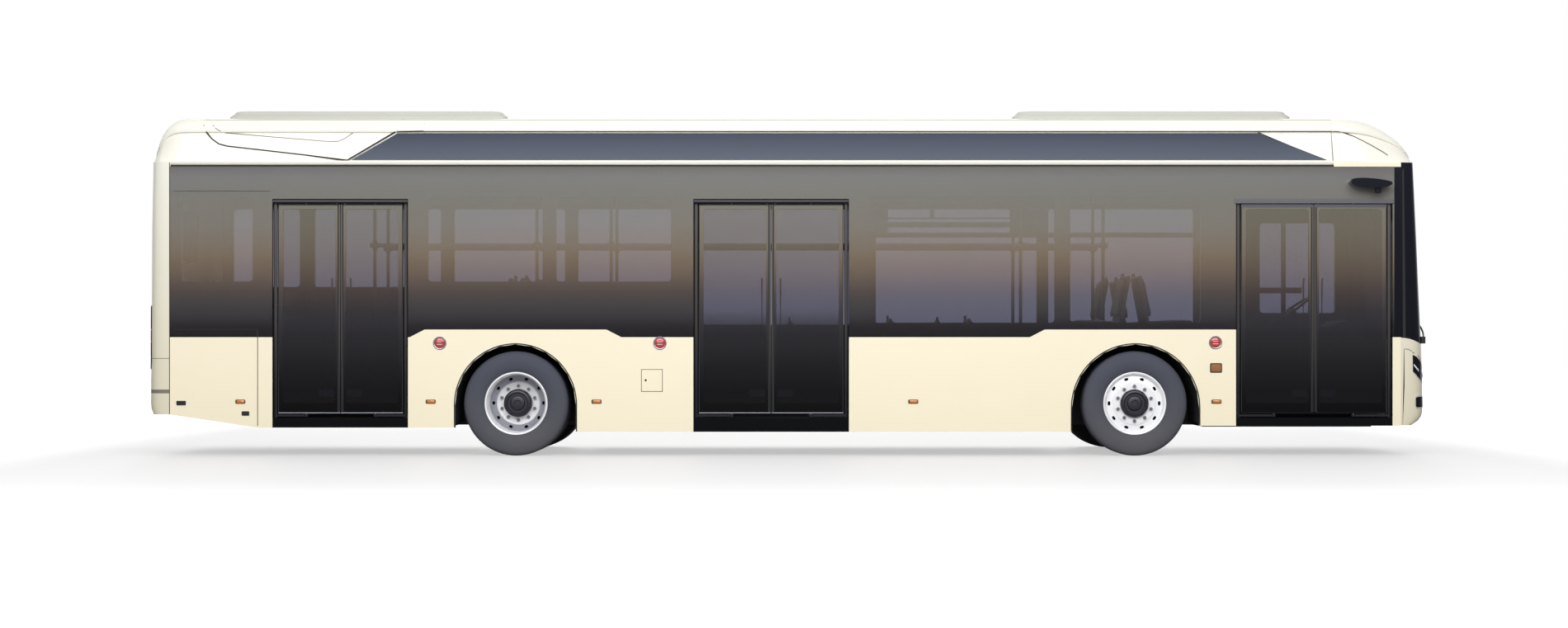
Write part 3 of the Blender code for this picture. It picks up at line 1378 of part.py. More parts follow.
def main():
    """Clears the scene, builds every node and dresses it."""
    for old in list(bpy.data.objects):
        bpy.data.objects.remove(old, do_unlink=True)
    nodes = [*build_chassis(), *build_floor(), *build_drive_unit(), *build_ends()]
    right = side_wall("right_side_wall", -1, DOORS, right_bays())
    nodes += [right, build_flap(right)]
    nodes.append(side_wall("left_side_wall", 1, (), left_bays()))
    nodes += [side_glass("right_glazing", -1, DOORS), side_glass("left_glazing", 1, ())]
    nodes += [*build_roof(), dome("front_dome", ROOF_FRONT, 1, DOME_STATIONS_FRONT)]
    nodes.append(dome("rear_dome", ROOF_BACK, -1, DOME_STATIONS_REAR))
    nodes += [*build_covers(), *build_fairings(), *build_cameras(), *build_wipers()]
    nodes += [*build_front_axle(), *build_rear_axle()]
    nodes += [build_knuckle(side, f"knuckle_{label}") for side, label in ((-1, "right"), (1, "left"))]
    nodes += build_wheels()
    for door in DOORS:
        nodes += build_door(door)
    nodes += [*build_seats(), *build_cab(), *build_rails()]
    for node in nodes:
        dress(node)


main()
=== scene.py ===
"""City bus in its studio: finishes, glass, lamps, wheels, doors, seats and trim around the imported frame.

Frame: metres, +X forward, +Y to the bus's left, +Z up. The doors are in the right side, y < 0.
"""
from __future__ import annotations

import logging
import math
from dataclasses import dataclass, field
from enum import Enum
from typing import Callable, Iterable, Sequence

import bmesh
import bpy
from mathutils import Matrix, Vector

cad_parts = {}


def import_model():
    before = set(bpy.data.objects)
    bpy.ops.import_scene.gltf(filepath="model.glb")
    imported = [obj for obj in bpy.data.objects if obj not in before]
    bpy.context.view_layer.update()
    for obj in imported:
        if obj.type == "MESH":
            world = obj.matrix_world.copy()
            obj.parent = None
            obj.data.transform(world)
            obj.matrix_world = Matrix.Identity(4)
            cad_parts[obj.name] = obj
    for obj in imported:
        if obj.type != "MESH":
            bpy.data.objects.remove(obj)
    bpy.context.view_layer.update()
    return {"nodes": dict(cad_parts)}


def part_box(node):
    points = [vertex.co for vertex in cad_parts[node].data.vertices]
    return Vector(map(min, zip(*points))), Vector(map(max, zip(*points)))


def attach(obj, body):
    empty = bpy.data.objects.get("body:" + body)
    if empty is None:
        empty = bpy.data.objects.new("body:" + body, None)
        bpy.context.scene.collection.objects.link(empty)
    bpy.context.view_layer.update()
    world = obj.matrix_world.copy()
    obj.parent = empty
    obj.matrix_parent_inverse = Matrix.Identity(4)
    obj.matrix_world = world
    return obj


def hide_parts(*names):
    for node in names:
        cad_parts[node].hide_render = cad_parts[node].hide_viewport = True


LOG = logging.getLogger("bus")
Point = tuple[float, float]
Spot = tuple[float, float, float]
Colour = tuple[float, float, float, float]


# Mesh helpers


def linear(red: int, green: int, blue: int) -> Colour:
    """Colour of a screen value, given in 0 to 255, as linear light."""
    def channel(value: float) -> float:
        """One channel from screen value to linear light."""
        value /= 255
        return value / 12.92 if value <= 0.04045 else ((value + 0.055) / 1.055) ** 2.4
    return (channel(red), channel(green), channel(blue), 1.0)


def arc(centre: Point, radius: float, start: float, end: float, steps: int) -> list[Point]:
    """Points on an arc.

    Args:
        centre: middle of the arc.
        radius: its radius.
        start: first angle in degrees.
        end: last angle in degrees.
        steps: number of chords.

    Returns:
        The points, both ends included.
    """
    turns = (math.radians(start + (end - start) * i / steps) for i in range(steps + 1))
    return [(centre[0] + radius * math.cos(t), centre[1] + radius * math.sin(t)) for t in turns]


def ring(centre: Point, radius: float, steps: int) -> list[Point]:
    """Corners of a regular polygon round a centre."""
    return arc(centre, radius, 0, 360 * (steps - 1) / steps, steps - 1)


def rounded(low: Point, high: Point, radius: float, steps: int = 4) -> list[Point]:
    """Rectangle with round corners.

    Args:
        low: lowest corner.
        high: highest corner.
        radius: radius of the corners.
        steps: chords in each corner.

    Returns:
        The outline, anticlockwise.
    """
    radius = min(radius, (high[0] - low[0]) / 2, (high[1] - low[1]) / 2)
    places = (
        ((high[0] - radius, low[1] + radius), 270),
        ((high[0] - radius, high[1] - radius), 0),
        ((low[0] + radius, high[1] - radius), 90),
        ((low[0] + radius, low[1] + radius), 180),
    )
    return [point for centre, start in places for point in arc(centre, radius, start, start + 90, steps)]


def between(table: Sequence[Sequence[float]], at: float) -> list[float]:
    """Row of a table at a place, by straight lines between its rows.

    Args:
        table: rows whose first column rises.
        at: value of the first column.

    Returns:
        The other columns there.
    """
    if at <= table[0][0]:
        return list(table[0][1:])
    for low, high in zip(table, table[1:]):
        if at <= high[0]:
            share = (at - low[0]) / (high[0] - low[0])
            return [a + (b - a) * share for a, b in zip(low[1:], high[1:])]
    return list(table[-1][1:])


def eased(table: Sequence[Sequence[float]], at: float) -> list[float]:
    """Row of a table at a place, by a smooth curve through its rows.

    Args:
        table: rows whose first column rises.
        at: value of the first column.

    Returns:
        The other columns there.
    """
    last = len(table) - 1
    i = max(0, min(last - 1, sum(1 for row in table[1:] if row[0] < at)))
    low, high = table[i], table[i + 1]
    before, after = table[max(0, i - 1)], table[min(last, i + 2)]
    span = high[0] - low[0]
    share = min(1.0, max(0.0, (at - low[0]) / span))
    h = share * share * (3 - 2 * share)
    values = []
    for c in range(1, len(low)):
        slope_low = (high[c] - before[c]) / (high[0] - before[0])
        slope_high = (after[c] - low[c]) / (after[0] - low[0])
        run = (slope_low * (1 - share) - slope_high * share) * share * (1 - share) * span
        values.append(low[c] + (high[c] - low[c]) * h + run)
    return values


class Form:
    """Mesh under construction, in the frame's own coordinates."""

    def __init__(self) -> None:
        """Starts an empty mesh."""
        self.mesh = bmesh.new()

    def verts(self, points: Iterable[Sequence[float]]) -> list[bmesh.types.BMVert]:
        """Adds points and returns their vertices."""
        return [self.mesh.verts.new(point) for point in points]

    def face(self, corners: Sequence[bmesh.types.BMVert]) -> None:
        """Adds one face, leaving out repeated corners."""
        corners = list(dict.fromkeys(corners))
        if len(corners) > 2 and not self.mesh.faces.get(corners):
            self.mesh.faces.new(corners)

    def strip(self, one: Sequence, two: Sequence, closed: bool = True) -> None:
        """Joins two rows of vertices by quads.

        Args:
            one: first row.
            two: second row, of equal count.
            closed: whether the rows are loops.
        """
        last = len(one) if closed else len(one) - 1
        for i in range(last):
            j = (i + 1) % len(one)
            self.face((one[i], one[j], two[j], two[i]))

    def rings(self, loops: Iterable[Sequence[Spot]]) -> "Form":
        """Skin over loops of points, the last joined to the first."""
        rows = [self.verts(loop) for loop in loops]
        for one, two in zip(rows, [*rows[1:], rows[0]]):
            self.strip(one, two)
        return self

    def loft(self, sections: Sequence[Sequence[Spot]], closed: bool = True, caps: bool = True) -> "Form":
        """Skin over sections of equal count.

        Args:
            sections: rows of points.
            closed: whether the rows are loops.
            caps: whether both ends are closed.

        Returns:
            The form itself.
        """
        rows = [self.verts(section) for section in sections]
        for one, two in zip(rows, rows[1:]):
            self.strip(one, two, closed)
        if caps and closed:
            self.face(rows[0])
            self.face(rows[-1])
        return self

    def block(self, low: Spot, high: Spot) -> "Form":
        """Adds a box between two corners."""
        under = [(low[0], low[1]), (high[0], low[1]), (high[0], high[1]), (low[0], high[1])]
        return self.loft([[(x, y, z) for x, y in under] for z in (low[2], high[2])])

    def plate(self, outline: Sequence[Point], low: float, high: float) -> "Form":
        """Adds an outline of (x, z) pushed from one place across the bus to another."""
        return self.loft([[(x, y, z) for x, z in outline] for y in (low, high)])

    def tube(self, path: Sequence[Spot], radius: float, sides: int = 10) -> "Form":
        """Adds a round bar along a path.

        Args:
            path: points of its middle line.
            radius: its radius.
            sides: number of sides.

        Returns:
            The form itself.
        """
        points = [Vector(point) for point in path]
        sections = []
        for i, point in enumerate(points):
            ahead = points[min(i + 1, len(points) - 1)] - points[max(i - 1, 0)]
            turn = ahead.to_track_quat("Z", "Y")
            sections.append([point + turn @ Vector((u, v, 0)) for u, v in ring((0, 0), radius, sides)])
        return self.loft(sections)

    def turned(self, profile: Sequence[Point], centre: Spot, outward: float, steps: int,
               closed: bool = True) -> "Form":
        """Adds a profile turned about a line along Y.

        Args:
            profile: (axial, radius) points, axial counted outward.
            centre: middle of the turned piece.
            outward: 1 or -1, the way that axial counts.
            steps: steps round the line.
            closed: whether the profile is a loop.

        Returns:
            The form itself.
        """
        rows = []
        for axial, radius in profile:
            y = centre[1] + outward * axial
            if radius <= 0:
                rows.append(self.verts([(centre[0], y, centre[2])]) * steps)
            else:
                rows.append(self.verts([(x, y, z) for x, z in ring((centre[0], centre[2]), radius, steps)]))
        for one, two in zip(rows, rows[1:] + (rows[:1] if closed else [])):
            self.strip(one, two)
        return self

    def finish(self, name: str, material: bpy.types.Material, angle: float = 35,
               bevel: float = 0.0) -> bpy.types.Object:
        """Turns the form into an object with its faces outwards.

        Args:
            name: name of the piece.
            material: its finish.
            angle: edges sharper than this stay sharp, in degrees.
            bevel: width of a small bevel on sharp edges, or 0.

        Returns:
            The object, at the origin.
        """
        bmesh.ops.remove_doubles(self.mesh, verts=self.mesh.verts, dist=1e-6)
        if bevel:
            sharp = math.radians(angle)
            edges = [e for e in self.mesh.edges if len(e.link_faces) == 2 and e.calc_face_angle(0) > sharp]
            bmesh.ops.bevel(self.mesh, geom=edges, offset=bevel, segments=2, affect="EDGES",
                            clamp_overlap=True)
        bmesh.ops.recalc_face_normals(self.mesh, faces=self.mesh.faces)
        data = bpy.data.meshes.new(name)
        self.mesh.to_mesh(data)
        self.mesh.free()
        data.shade_smooth()
        data.set_sharp_from_angle(angle=math.radians(angle))
        data.materials.append(material)
        made = bpy.data.objects.new(name, data)
        bpy.context.scene.collection.objects.link(made)
        return made


def keep(piece: bpy.types.Object, body: str, slot: str, *nodes: str) -> bpy.types.Object:
    """Hangs a piece on its body and hides the nodes that it stands for.

    Args:
        piece: the finished object.
        body: body that it rides on.
        slot: the record's material slot; not used.
        nodes: CAD nodes that it replaces.

    Returns:
        The same piece.
    """
    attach(piece, body)
    if nodes:
        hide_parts(*nodes)
    LOG.info("%s rides on %s", piece.name, body)
    return piece


def add(form: Form, name: str, finish: Finish, slot: str, *nodes: str, body: str = "bus_body",
        angle: float = 30, bevel: float = 0.0) -> bpy.types.Object:
    """Finishes a form and keeps it as a piece.

    Args:
        form: mesh of the piece.
        name: name of the piece.
        finish: its finish.
        slot: the record's material slot; not used.
        nodes: CAD nodes that it replaces.
        body: body that it rides on.
        angle: edges sharper than this stay sharp, in degrees.
        bevel: width of a small bevel on sharp edges, or 0.

    Returns:
        The piece.
    """
    return keep(form.finish(name, dressed(finish), angle, bevel), body, slot, *nodes)


# Nodes of shaders and of geometry


def fed(tree, kind: str, inputs: dict, out: int | str = 0, **settings) -> bpy.types.NodeSocket:
    """Adds a node and feeds its inputs by sockets or values.

    Args:
        tree: tree that takes the node.
        kind: type of the node.
        inputs: socket or value of each input, by name or number.
        out: name or number of the output.
        settings: properties of the node.

    Returns:
        The output socket.
    """
    node = tree.nodes.new(kind)
    for label, value in settings.items():
        setattr(node, label, value)
    for key, value in inputs.items():
        if isinstance(value, bpy.types.NodeSocket):
            tree.links.new(value, node.inputs[key])
        else:
            node.inputs[key].default_value = value
    return node.outputs[out]


def calc(tree, operation: str, one, two=0.0, clamp: bool = False) -> bpy.types.NodeSocket:
    """Math node fed by sockets or numbers, clamped to 0 to 1 where asked for."""
    return fed(tree, "ShaderNodeMath", {0: one, 1: two}, operation=operation, use_clamp=clamp)


def mapped(tree, value, start: float, end: float, low: float = 0.0, high: float = 1.0,
           **settings) -> bpy.types.NodeSocket:
    """Value carried from the range start to end over to the range low to high."""
    ranges = {"From Min": start, "From Max": end, "To Min": low, "To Max": high}
    return fed(tree, "ShaderNodeMapRange", {"Value": value, **ranges}, "Result", **settings)


def mixed(tree, factor, one, two) -> bpy.types.NodeSocket:
    """Colour between two colours, each a socket or a value."""
    return fed(tree, "ShaderNodeMix", {"Factor": factor, 6: one, 7: two}, 2, data_type="RGBA")


def graded(tree, share, stops: Iterable[tuple[float, Colour]]) -> bpy.types.NodeSocket:
    """Colour of a ramp with given stops, read at a share."""
    colour = fed(tree, "ShaderNodeValToRGB", {"Fac": share}, "Color")
    elements = colour.node.color_ramp.elements
    for i, (place, value) in enumerate(stops):
        element = elements[i] if i < 2 else elements.new(place)
        element.position, element.color = place, value
    return colour


def spot_of(tree, kind: str = "Object") -> bpy.types.NodeSocket:
    """Texture coordinates of the shaded point."""
    return fed(tree, "ShaderNodeTexCoord", {}, kind)


def axis_of(tree, axis: str, kind: str = "Object") -> bpy.types.NodeSocket:
    """One of the texture coordinates of the shaded point."""
    return fed(tree, "ShaderNodeSeparateXYZ", {0: spot_of(tree, kind)}, axis)


def bumped(tree, height, strength: float, distance: float) -> bpy.types.NodeSocket:
    """Normal of a surface raised by a height."""
    return fed(tree, "ShaderNodeBump", {"Strength": strength, "Distance": distance, "Height": height},
               "Normal")


class Effects:
    """Node groups that several finishes share."""

    @staticmethod
    def group(name: str, inputs: dict[str, float], output: str):
        """Empty shader group with named sockets.

        Args:
            name: name of the group.
            inputs: default of each input, by its name.
            output: name of the output.

        Returns:
            The tree with its input and output nodes.
        """
        tree = bpy.data.node_groups.new(name, "ShaderNodeTree")
        for label, value in inputs.items():
            socket = tree.interface.new_socket(label, in_out="INPUT", socket_type="NodeSocketFloat")
            socket.default_value = value
        tree.interface.new_socket(output, in_out="OUTPUT", socket_type="NodeSocketFloat")
        return tree, tree.nodes.new("NodeGroupInput"), tree.nodes.new("NodeGroupOutput")

    @classmethod
    def dust(cls) -> bpy.types.NodeTree:
        """Road dust: a mask that is thickest low down and breaks up in clouds.

        Returns:
            Group with inputs Reach and Strength and the output Mask.
        """
        tree, entry, end = cls.group("road_dust", {"Reach": 1.0, "Strength": 0.3}, "Mask")
        clouds = fed(tree, "ShaderNodeTexNoise", {"Vector": spot_of(tree), "Scale": 1.7, "Detail": 5}, "Fac")
        height = calc(tree, "DIVIDE", axis_of(tree, "Z"), entry.outputs["Reach"], True)
        broken = calc(tree, "MULTIPLY", calc(tree, "SUBTRACT", 1.0, height, True), clouds, True)
        mask = calc(tree, "MULTIPLY", broken, entry.outputs["Strength"], True)
        tree.links.new(mask, end.inputs["Mask"])
        return tree

    @classmethod
    def grain(cls) -> bpy.types.NodeTree:
        """Fine surface grain as a height between 0 and 1.

        Returns:
            Group with the input Scale and the output Height.
        """
        tree, entry, end = cls.group("surface_grain", {"Scale": 100.0}, "Height")
        scale = entry.outputs["Scale"]
        noise = fed(tree, "ShaderNodeTexNoise", {"Vector": spot_of(tree), "Scale": scale, "Detail": 3}, "Fac")
        tree.links.new(noise, end.inputs["Height"])
        return tree


def blank(name: str) -> tuple[bpy.types.Material, bpy.types.NodeTree, bpy.types.Node]:
    """New material with its tree and its Principled node."""
    material = bpy.data.materials.new(name)
    material.use_nodes = True
    return material, material.node_tree, material.node_tree.nodes["Principled BSDF"]


WHITE = (1, 1, 1, 1)
COAT_ROUGHNESS = 0.04
GRAIN_HEIGHT = 0.002
DUST_ROUGHNESS = 0.9
DUST_COLOUR = linear(150, 140, 122)


@dataclass(frozen=True)
class Finish:
    """One finish of the bus: its colours, gloss, grain and dust."""

    name: str
    colour: Colour
    second: Colour | None = None
    low: float = 0.0
    high: float = 1.0
    roughness: float = 0.4
    metallic: float = 0.0
    coat: float = 0.0
    gloss: float = 0.5
    grain_scale: float = 120.0
    grain: float = 0.0
    dust: float = 0.0
    dust_reach: float = 1.0
    mottle: float = 0.0
    stops: tuple[tuple[float, Colour], ...] = field(default=())

    @classmethod
    def of(cls, name: str, colour: tuple[int, int, int], second: tuple[int, int, int] | None, *places: float,
           **looks) -> "Finish":
        """Finish from screen colours.

        Args:
            name: name of the finish.
            colour: its colour at the low end.
            second: its colour at the high end, or None for the same.
            places: low end, high end and roughness.
            looks: the other fields.

        Returns:
            The finish.
        """
        return cls(name, linear(*colour), second and linear(*second), *places, **looks)

    def build(self) -> bpy.types.Material:
        """Builds the material.

        Returns:
            A node material that reads Object coordinates.
        """
        material, tree, shader = blank(self.name)
        values = {"Roughness": self.roughness, "Metallic": self.metallic, "Coat Weight": self.coat,
                  "Coat Roughness": COAT_ROUGHNESS, "Specular IOR Level": self.gloss}
        for label, value in values.items():
            shader.inputs[label].default_value = value
        stops = self.stops or ((0.0, self.colour), (1.0, self.second or self.colour))
        colour = graded(tree, mapped(tree, axis_of(tree, "Z"), self.low, self.high), stops)
        if self.mottle:
            colour = self.mottled(tree, colour)
        if self.dust:
            colour = self.dusted(tree, colour, shader)
        tree.links.new(colour, shader.inputs["Base Color"])
        if self.grain:
            group = bpy.data.node_groups.get("surface_grain") or Effects.grain()
            height = fed(tree, "ShaderNodeGroup", {"Scale": self.grain_scale}, "Height", node_tree=group)
            tree.links.new(bumped(tree, height, self.grain, GRAIN_HEIGHT), shader.inputs["Normal"])
        return material

    def mottled(self, tree, colour) -> bpy.types.NodeSocket:
        """Colour with soft cloudy differences in brightness.

        Args:
            tree: the material's tree.
            colour: colour socket before.

        Returns:
            The colour socket after.
        """
        noise = fed(tree, "ShaderNodeTexNoise", {"Vector": spot_of(tree), "Scale": 2.3, "Detail": 4}, "Fac")
        share = mapped(tree, noise, 0, 1, 1 - self.mottle, 1 + self.mottle)
        return fed(tree, "ShaderNodeVectorMath", {0: colour, "Scale": share}, operation="SCALE")

    def dusted(self, tree, colour, shader) -> bpy.types.NodeSocket:
        """Colour with road dust laid over it, and roughness raised where it lies.

        Args:
            tree: the material's tree.
            colour: colour socket before.
            shader: the Principled node.

        Returns:
            The colour socket after.
        """
        group = bpy.data.node_groups.get("road_dust") or Effects.dust()
        amounts = {"Reach": self.dust_reach, "Strength": self.dust}
        mask = fed(tree, "ShaderNodeGroup", amounts, "Mask", node_tree=group)
        tree.links.new(mapped(tree, mask, 0, 1, self.roughness, DUST_ROUGHNESS), shader.inputs["Roughness"])
        return mixed(tree, mask, colour, DUST_COLOUR)


@dataclass(frozen=True)
class SkinFinish(Finish):
    """Paint on the outer skin of a panel, with a dark lining on every face further in."""

    lining: Colour = linear(26, 27, 30)
    skin: float = 1.2705

    def build(self) -> bpy.types.Material:
        """Builds the paint and switches it to the lining inside of the skin.

        Returns:
            The material.
        """
        material = super().build()
        tree = material.node_tree
        base = tree.nodes["Principled BSDF"].inputs["Base Color"]
        paint = base.links[0].from_socket
        outside = calc(tree, "GREATER_THAN", calc(tree, "ABSOLUTE", axis_of(tree, "Y")), self.skin)
        tree.links.new(mixed(tree, outside, self.lining, paint), base)
        return material


@dataclass(frozen=True)
class GlassFinish(Finish):
    """Smoked glass: its colour and its cover both change with height; where the colour changes, that change
    is a painted reflection.
    """

    cover_low: float = 0.75
    cover_high: float = 0.9
    cover_from: float = 1.3
    cover_to: float = 2.4

    def build(self) -> bpy.types.Material:
        """Builds the glass.

        Returns:
            The material, see-through by its alpha.
        """
        material = super().build()
        tree = material.node_tree
        cover = mapped(tree, axis_of(tree, "Z"), self.cover_from, self.cover_to, self.cover_low,
                       self.cover_high)
        tree.links.new(cover, tree.nodes["Principled BSDF"].inputs["Alpha"])
        return material


# Palette


def stops(*rows: tuple[float, int, int, int]) -> tuple[tuple[float, Colour], ...]:
    """Stops of a ramp from rows of place, red, green and blue."""
    return tuple((place, linear(*colour)) for place, *colour in rows)


# Cream side paint: lighter towards the top, a painted shade of the light from above; the road dust low down
# is real dirt.
CREAM = SkinFinish.of("cream_paint", (246, 236, 208), (250, 241, 217), 0.3, 2.8, 0.32, coat=0.25,
                   mottle=0.012, grain=0.02, grain_scale=300, dust=0.10, dust_reach=0.9)
# Pearl paint of the ends, roof and hatch: darker low down and lighter at the top, a painted shade of the
# light from above; the road dust low down is real dirt.
SHELL = Finish.of("pearl_paint", (222, 214, 188), (240, 238, 226), 0.3, 2.9, 0.30, coat=0.3,
               mottle=0.012, grain=0.02, grain_scale=300, dust=0.10, dust_reach=0.7)
SLATE = Finish.of("slate_paint", (82, 89, 104), (54, 60, 76), 2.80, 3.06, 0.55, mottle=0.015, grain=0.02,
               grain_scale=280, gloss=0.25)
COVER = Finish.of("cover_paint", (184, 185, 176), (196, 197, 189), 3.2, 3.3, 0.55,
               mottle=0.03, grain=0.10, grain_scale=160)
# Colour of the glass band, dark at the foot through brown to grey at the top: a painted reflection.
BAND_REFLECTION_STOPS = stops(
    (0.029, 34, 33, 37), (0.1, 47, 44, 48), (0.165, 71, 68, 72), (0.229, 82, 79, 79), (0.294, 98, 87, 83),
    (0.359, 118, 104, 94), (0.424, 134, 117, 101), (0.488, 144, 129, 110), (0.553, 150, 137, 122),
    (0.676, 150, 145, 135), (0.806, 148, 145, 137), (0.935, 147, 147, 145), (1.0, 131, 128, 125),
)
BAND = GlassFinish.of("smoked_band", (60, 58, 62), None, 1.05, 2.75, 0.06, stops=BAND_REFLECTION_STOPS, grain=0.01,
                   grain_scale=3, mottle=0.02, cover_low=0.42, cover_high=0.50)
# Colour of the door glass, near black at the foot to brown-grey at the top: a painted reflection.
DOOR_REFLECTION_STOPS = stops(
    (0.025, 3, 3, 5), (0.11, 10, 10, 12), (0.225, 25, 25, 28), (0.375, 42, 41, 45), (0.465, 61, 59, 63),
    (0.575, 88, 78, 76), (0.685, 116, 103, 91), (0.795, 131, 121, 107), (0.9, 136, 129, 115),
    (0.99, 137, 134, 122),
)
# Colour of the black door frames, near black at the foot to brown-grey at the top: a painted reflection over
# their own black.
FRAME_REFLECTION_STOPS = stops(
    (0.025, 3, 3, 5), (0.11, 11, 11, 13), (0.225, 27, 27, 30), (0.375, 43, 42, 46), (0.465, 55, 53, 58),
    (0.575, 76, 68, 66), (0.685, 101, 89, 79), (0.795, 115, 106, 93), (0.9, 119, 113, 100),
    (0.99, 120, 117, 107),
)
DOOR_GLASS = GlassFinish.of("smoked_door", (40, 40, 42), None, 0.4, 2.4, 0.06, stops=DOOR_REFLECTION_STOPS, mottle=0.02,
                         grain=0.01, grain_scale=3, cover_low=0.98, cover_high=0.44, cover_from=1.05,
                         cover_to=1.38)
DOOR_FRAME = Finish.of("door_frame", (40, 40, 42), None, 0.4, 2.4, 0.30, stops=FRAME_REFLECTION_STOPS, mottle=0.02,
                    grain=0.05, grain_scale=300, gloss=0.12)
SCREEN = GlassFinish.of("screen_glass", (20, 21, 30), None, 1.1, 2.8, 0.05, cover_low=0.86, cover_high=0.9,
                     mottle=0.03, grain=0.01, grain_scale=3)
BLACK = Finish.of("black_trim", (22, 22, 26), (28, 28, 33), 0.3, 2.8, 0.38, mottle=0.06, grain=0.12,
               grain_scale=420)
GLOSS_BLACK = Finish.of("gloss_black", (13, 13, 20), (20, 21, 32), 0.3, 2.8, 0.14, coat=0.12, mottle=0.03,
                     grain=0.01, grain_scale=60, gloss=0.3)
SEAL = Finish.of("rubber_seal", (14, 14, 16), (20, 20, 22), 0.3, 2.8, 0.7, mottle=0.08, grain=0.2,
              grain_scale=600)
UNDER = Finish.of("under_coating", (20, 20, 22), (34, 34, 36), 0.1, 0.9, 0.75, mottle=0.25, grain=0.5,
               grain_scale=90, dust=0.5, dust_reach=0.9)
RUBBER = Finish.of("tyre_rubber", (63, 66, 77), (71, 74, 86), 0.0, 1.0, 0.8, mottle=0.05, grain=0.3,
                grain_scale=350, dust=0.25, dust_reach=0.7)
# Wheel steel: near white with little metal, so that the polished disc looks bright by its colour; this is
# partly a painted reflection.
STEEL = Finish.of("wheel_steel", (238, 238, 241), (250, 250, 252), 0.2, 0.8, 0.28, metallic=0.1, coat=0.2,
               mottle=0.03, grain=0.04, grain_scale=260)
BARREL = Finish.of("wheel_barrel", (128, 130, 138), (170, 172, 180), 0.2, 0.8, 0.35, metallic=0.2,
                mottle=0.12, grain=0.05, grain_scale=200)
HUB = Finish.of("hub_iron", (34, 33, 42), (46, 44, 54), 0.2, 0.8, 0.4, metallic=0.3, mottle=0.15,
             grain=0.2, grain_scale=180)
NUT = Finish.of("nut_steel", (120, 120, 124), (150, 150, 154), 0.2, 0.8, 0.3, metallic=0.7, mottle=0.1,
             grain=0.1, grain_scale=300)
RED_LENS = Finish.of("red_lens", (176, 40, 40), (205, 72, 66), 0.4, 2.8, 0.12, coat=0.6, mottle=0.06,
                  grain=0.15, grain_scale=240)
AMBER_LENS = Finish.of("amber_lens", (196, 112, 28), (222, 140, 60), 0.4, 1.0, 0.14, coat=0.6, mottle=0.06,
                    grain=0.15, grain_scale=240)
CLEAR_LENS = Finish.of("clear_lens", (210, 214, 222), (236, 238, 244), 0.3, 1.1, 0.08, coat=0.7,
                    mottle=0.05, grain=0.1, grain_scale=120)
BRONZE = Finish.of("bronze_plate", (138, 84, 40), (164, 112, 66), 0.78, 0.88, 0.3, coat=0.4, mottle=0.2,
                grain=0.4, grain_scale=90)
CHROME = Finish.of("bright_trim", (226, 226, 224), (240, 240, 238), 0.3, 1.2, 0.15, metallic=0.5, coat=0.4,
                mottle=0.02, grain=0.02, grain_scale=200)
GROOVE = Finish.of("panel_groove", (34, 31, 30), (44, 41, 38), 0.3, 3.2, 0.7, mottle=0.1, grain=0.2,
                grain_scale=400)
FAINT_GROOVE = Finish.of("faint_groove", (122, 116, 102), (140, 134, 120), 0.3, 3.2, 0.6, mottle=0.06,
                      grain=0.1, grain_scale=400)
# Door posts and edge strips: near black low down, lighter and browner towards the top, a painted reflection
# like that of the door glass over their own black and grey.
POST = Finish.of("door_post", (34, 33, 38), (92, 88, 86), 0.6, 2.2, 0.35, mottle=0.03, grain=0.1,
              grain_scale=300, gloss=0.2)
STRIP = Finish.of("edge_strip", (28, 28, 33), (98, 93, 88), 0.6, 2.2, 0.5, mottle=0.03, grain=0.2,
               grain_scale=400, gloss=0.15)
FOOT = Finish.of("foot_strip", (148, 152, 162), (156, 160, 170), 0.3, 0.5, 0.35, mottle=0.04, grain=0.1,
              grain_scale=300)
HEADER = Finish.of("header_bar", (78, 78, 84), (92, 92, 98), 2.35, 2.43, 0.4, mottle=0.05, grain=0.1,
                grain_scale=300)
INSIDE = Finish.of("interior_panel", (44, 44, 48), (84, 84, 88), 0.3, 2.8, 0.6, mottle=0.06, grain=0.25,
                grain_scale=240)
DECK = SkinFinish.of("deck_cover", (7, 8, 11), (10, 10, 13), 0.3, 1.0, 0.8, mottle=0.12, grain=0.6,
                  grain_scale=500, gloss=0.1, lining=linear(58, 58, 62), skin=1.20)
POLE = Finish.of("rail_metal", (66, 66, 72), (96, 96, 104), 0.3, 2.7, 0.3, metallic=0.5, mottle=0.04,
              grain=0.1, grain_scale=500)
PLASTIC = Finish.of("seat_shell", (36, 37, 44), (52, 52, 60), 0.3, 2.3, 0.5, mottle=0.05, grain=0.3,
                 grain_scale=380)


@dataclass(frozen=True)
class ClothFinish(Finish):
    """Woven seat cloth: crossed threads in bump and a scatter of darker tufts."""

    threads: float = 420.0

    def build(self) -> bpy.types.Material:
        """Builds the cloth.

        Returns:
            The material.
        """
        material = super().build()
        tree = material.node_tree
        shader = tree.nodes["Principled BSDF"]
        threads = {"Vector": spot_of(tree), "Scale": self.threads, "Distortion": 1.2}
        warp, weft = (fed(tree, "ShaderNodeTexWave", threads, "Fac", bands_direction=way)
                      for way in ("X", "Z"))
        weave = calc(tree, "MULTIPLY", warp, weft, True)
        tree.links.new(bumped(tree, weave, 0.35, 0.001), shader.inputs["Normal"])
        shader.inputs["Sheen Weight"].default_value = 0.4
        return material


CLOTH = ClothFinish.of("seat_cloth", (38, 40, 56), (54, 54, 68), 0.5, 2.2, 0.9, mottle=0.2)
_MADE: dict[str, bpy.types.Material] = {}


def dressed(finish: Finish) -> bpy.types.Material:
    """Material of a finish, built the first time that it is asked for."""
    if finish.name not in _MADE:
        _MADE[finish.name] = finish.build()
    return _MADE[finish.name]


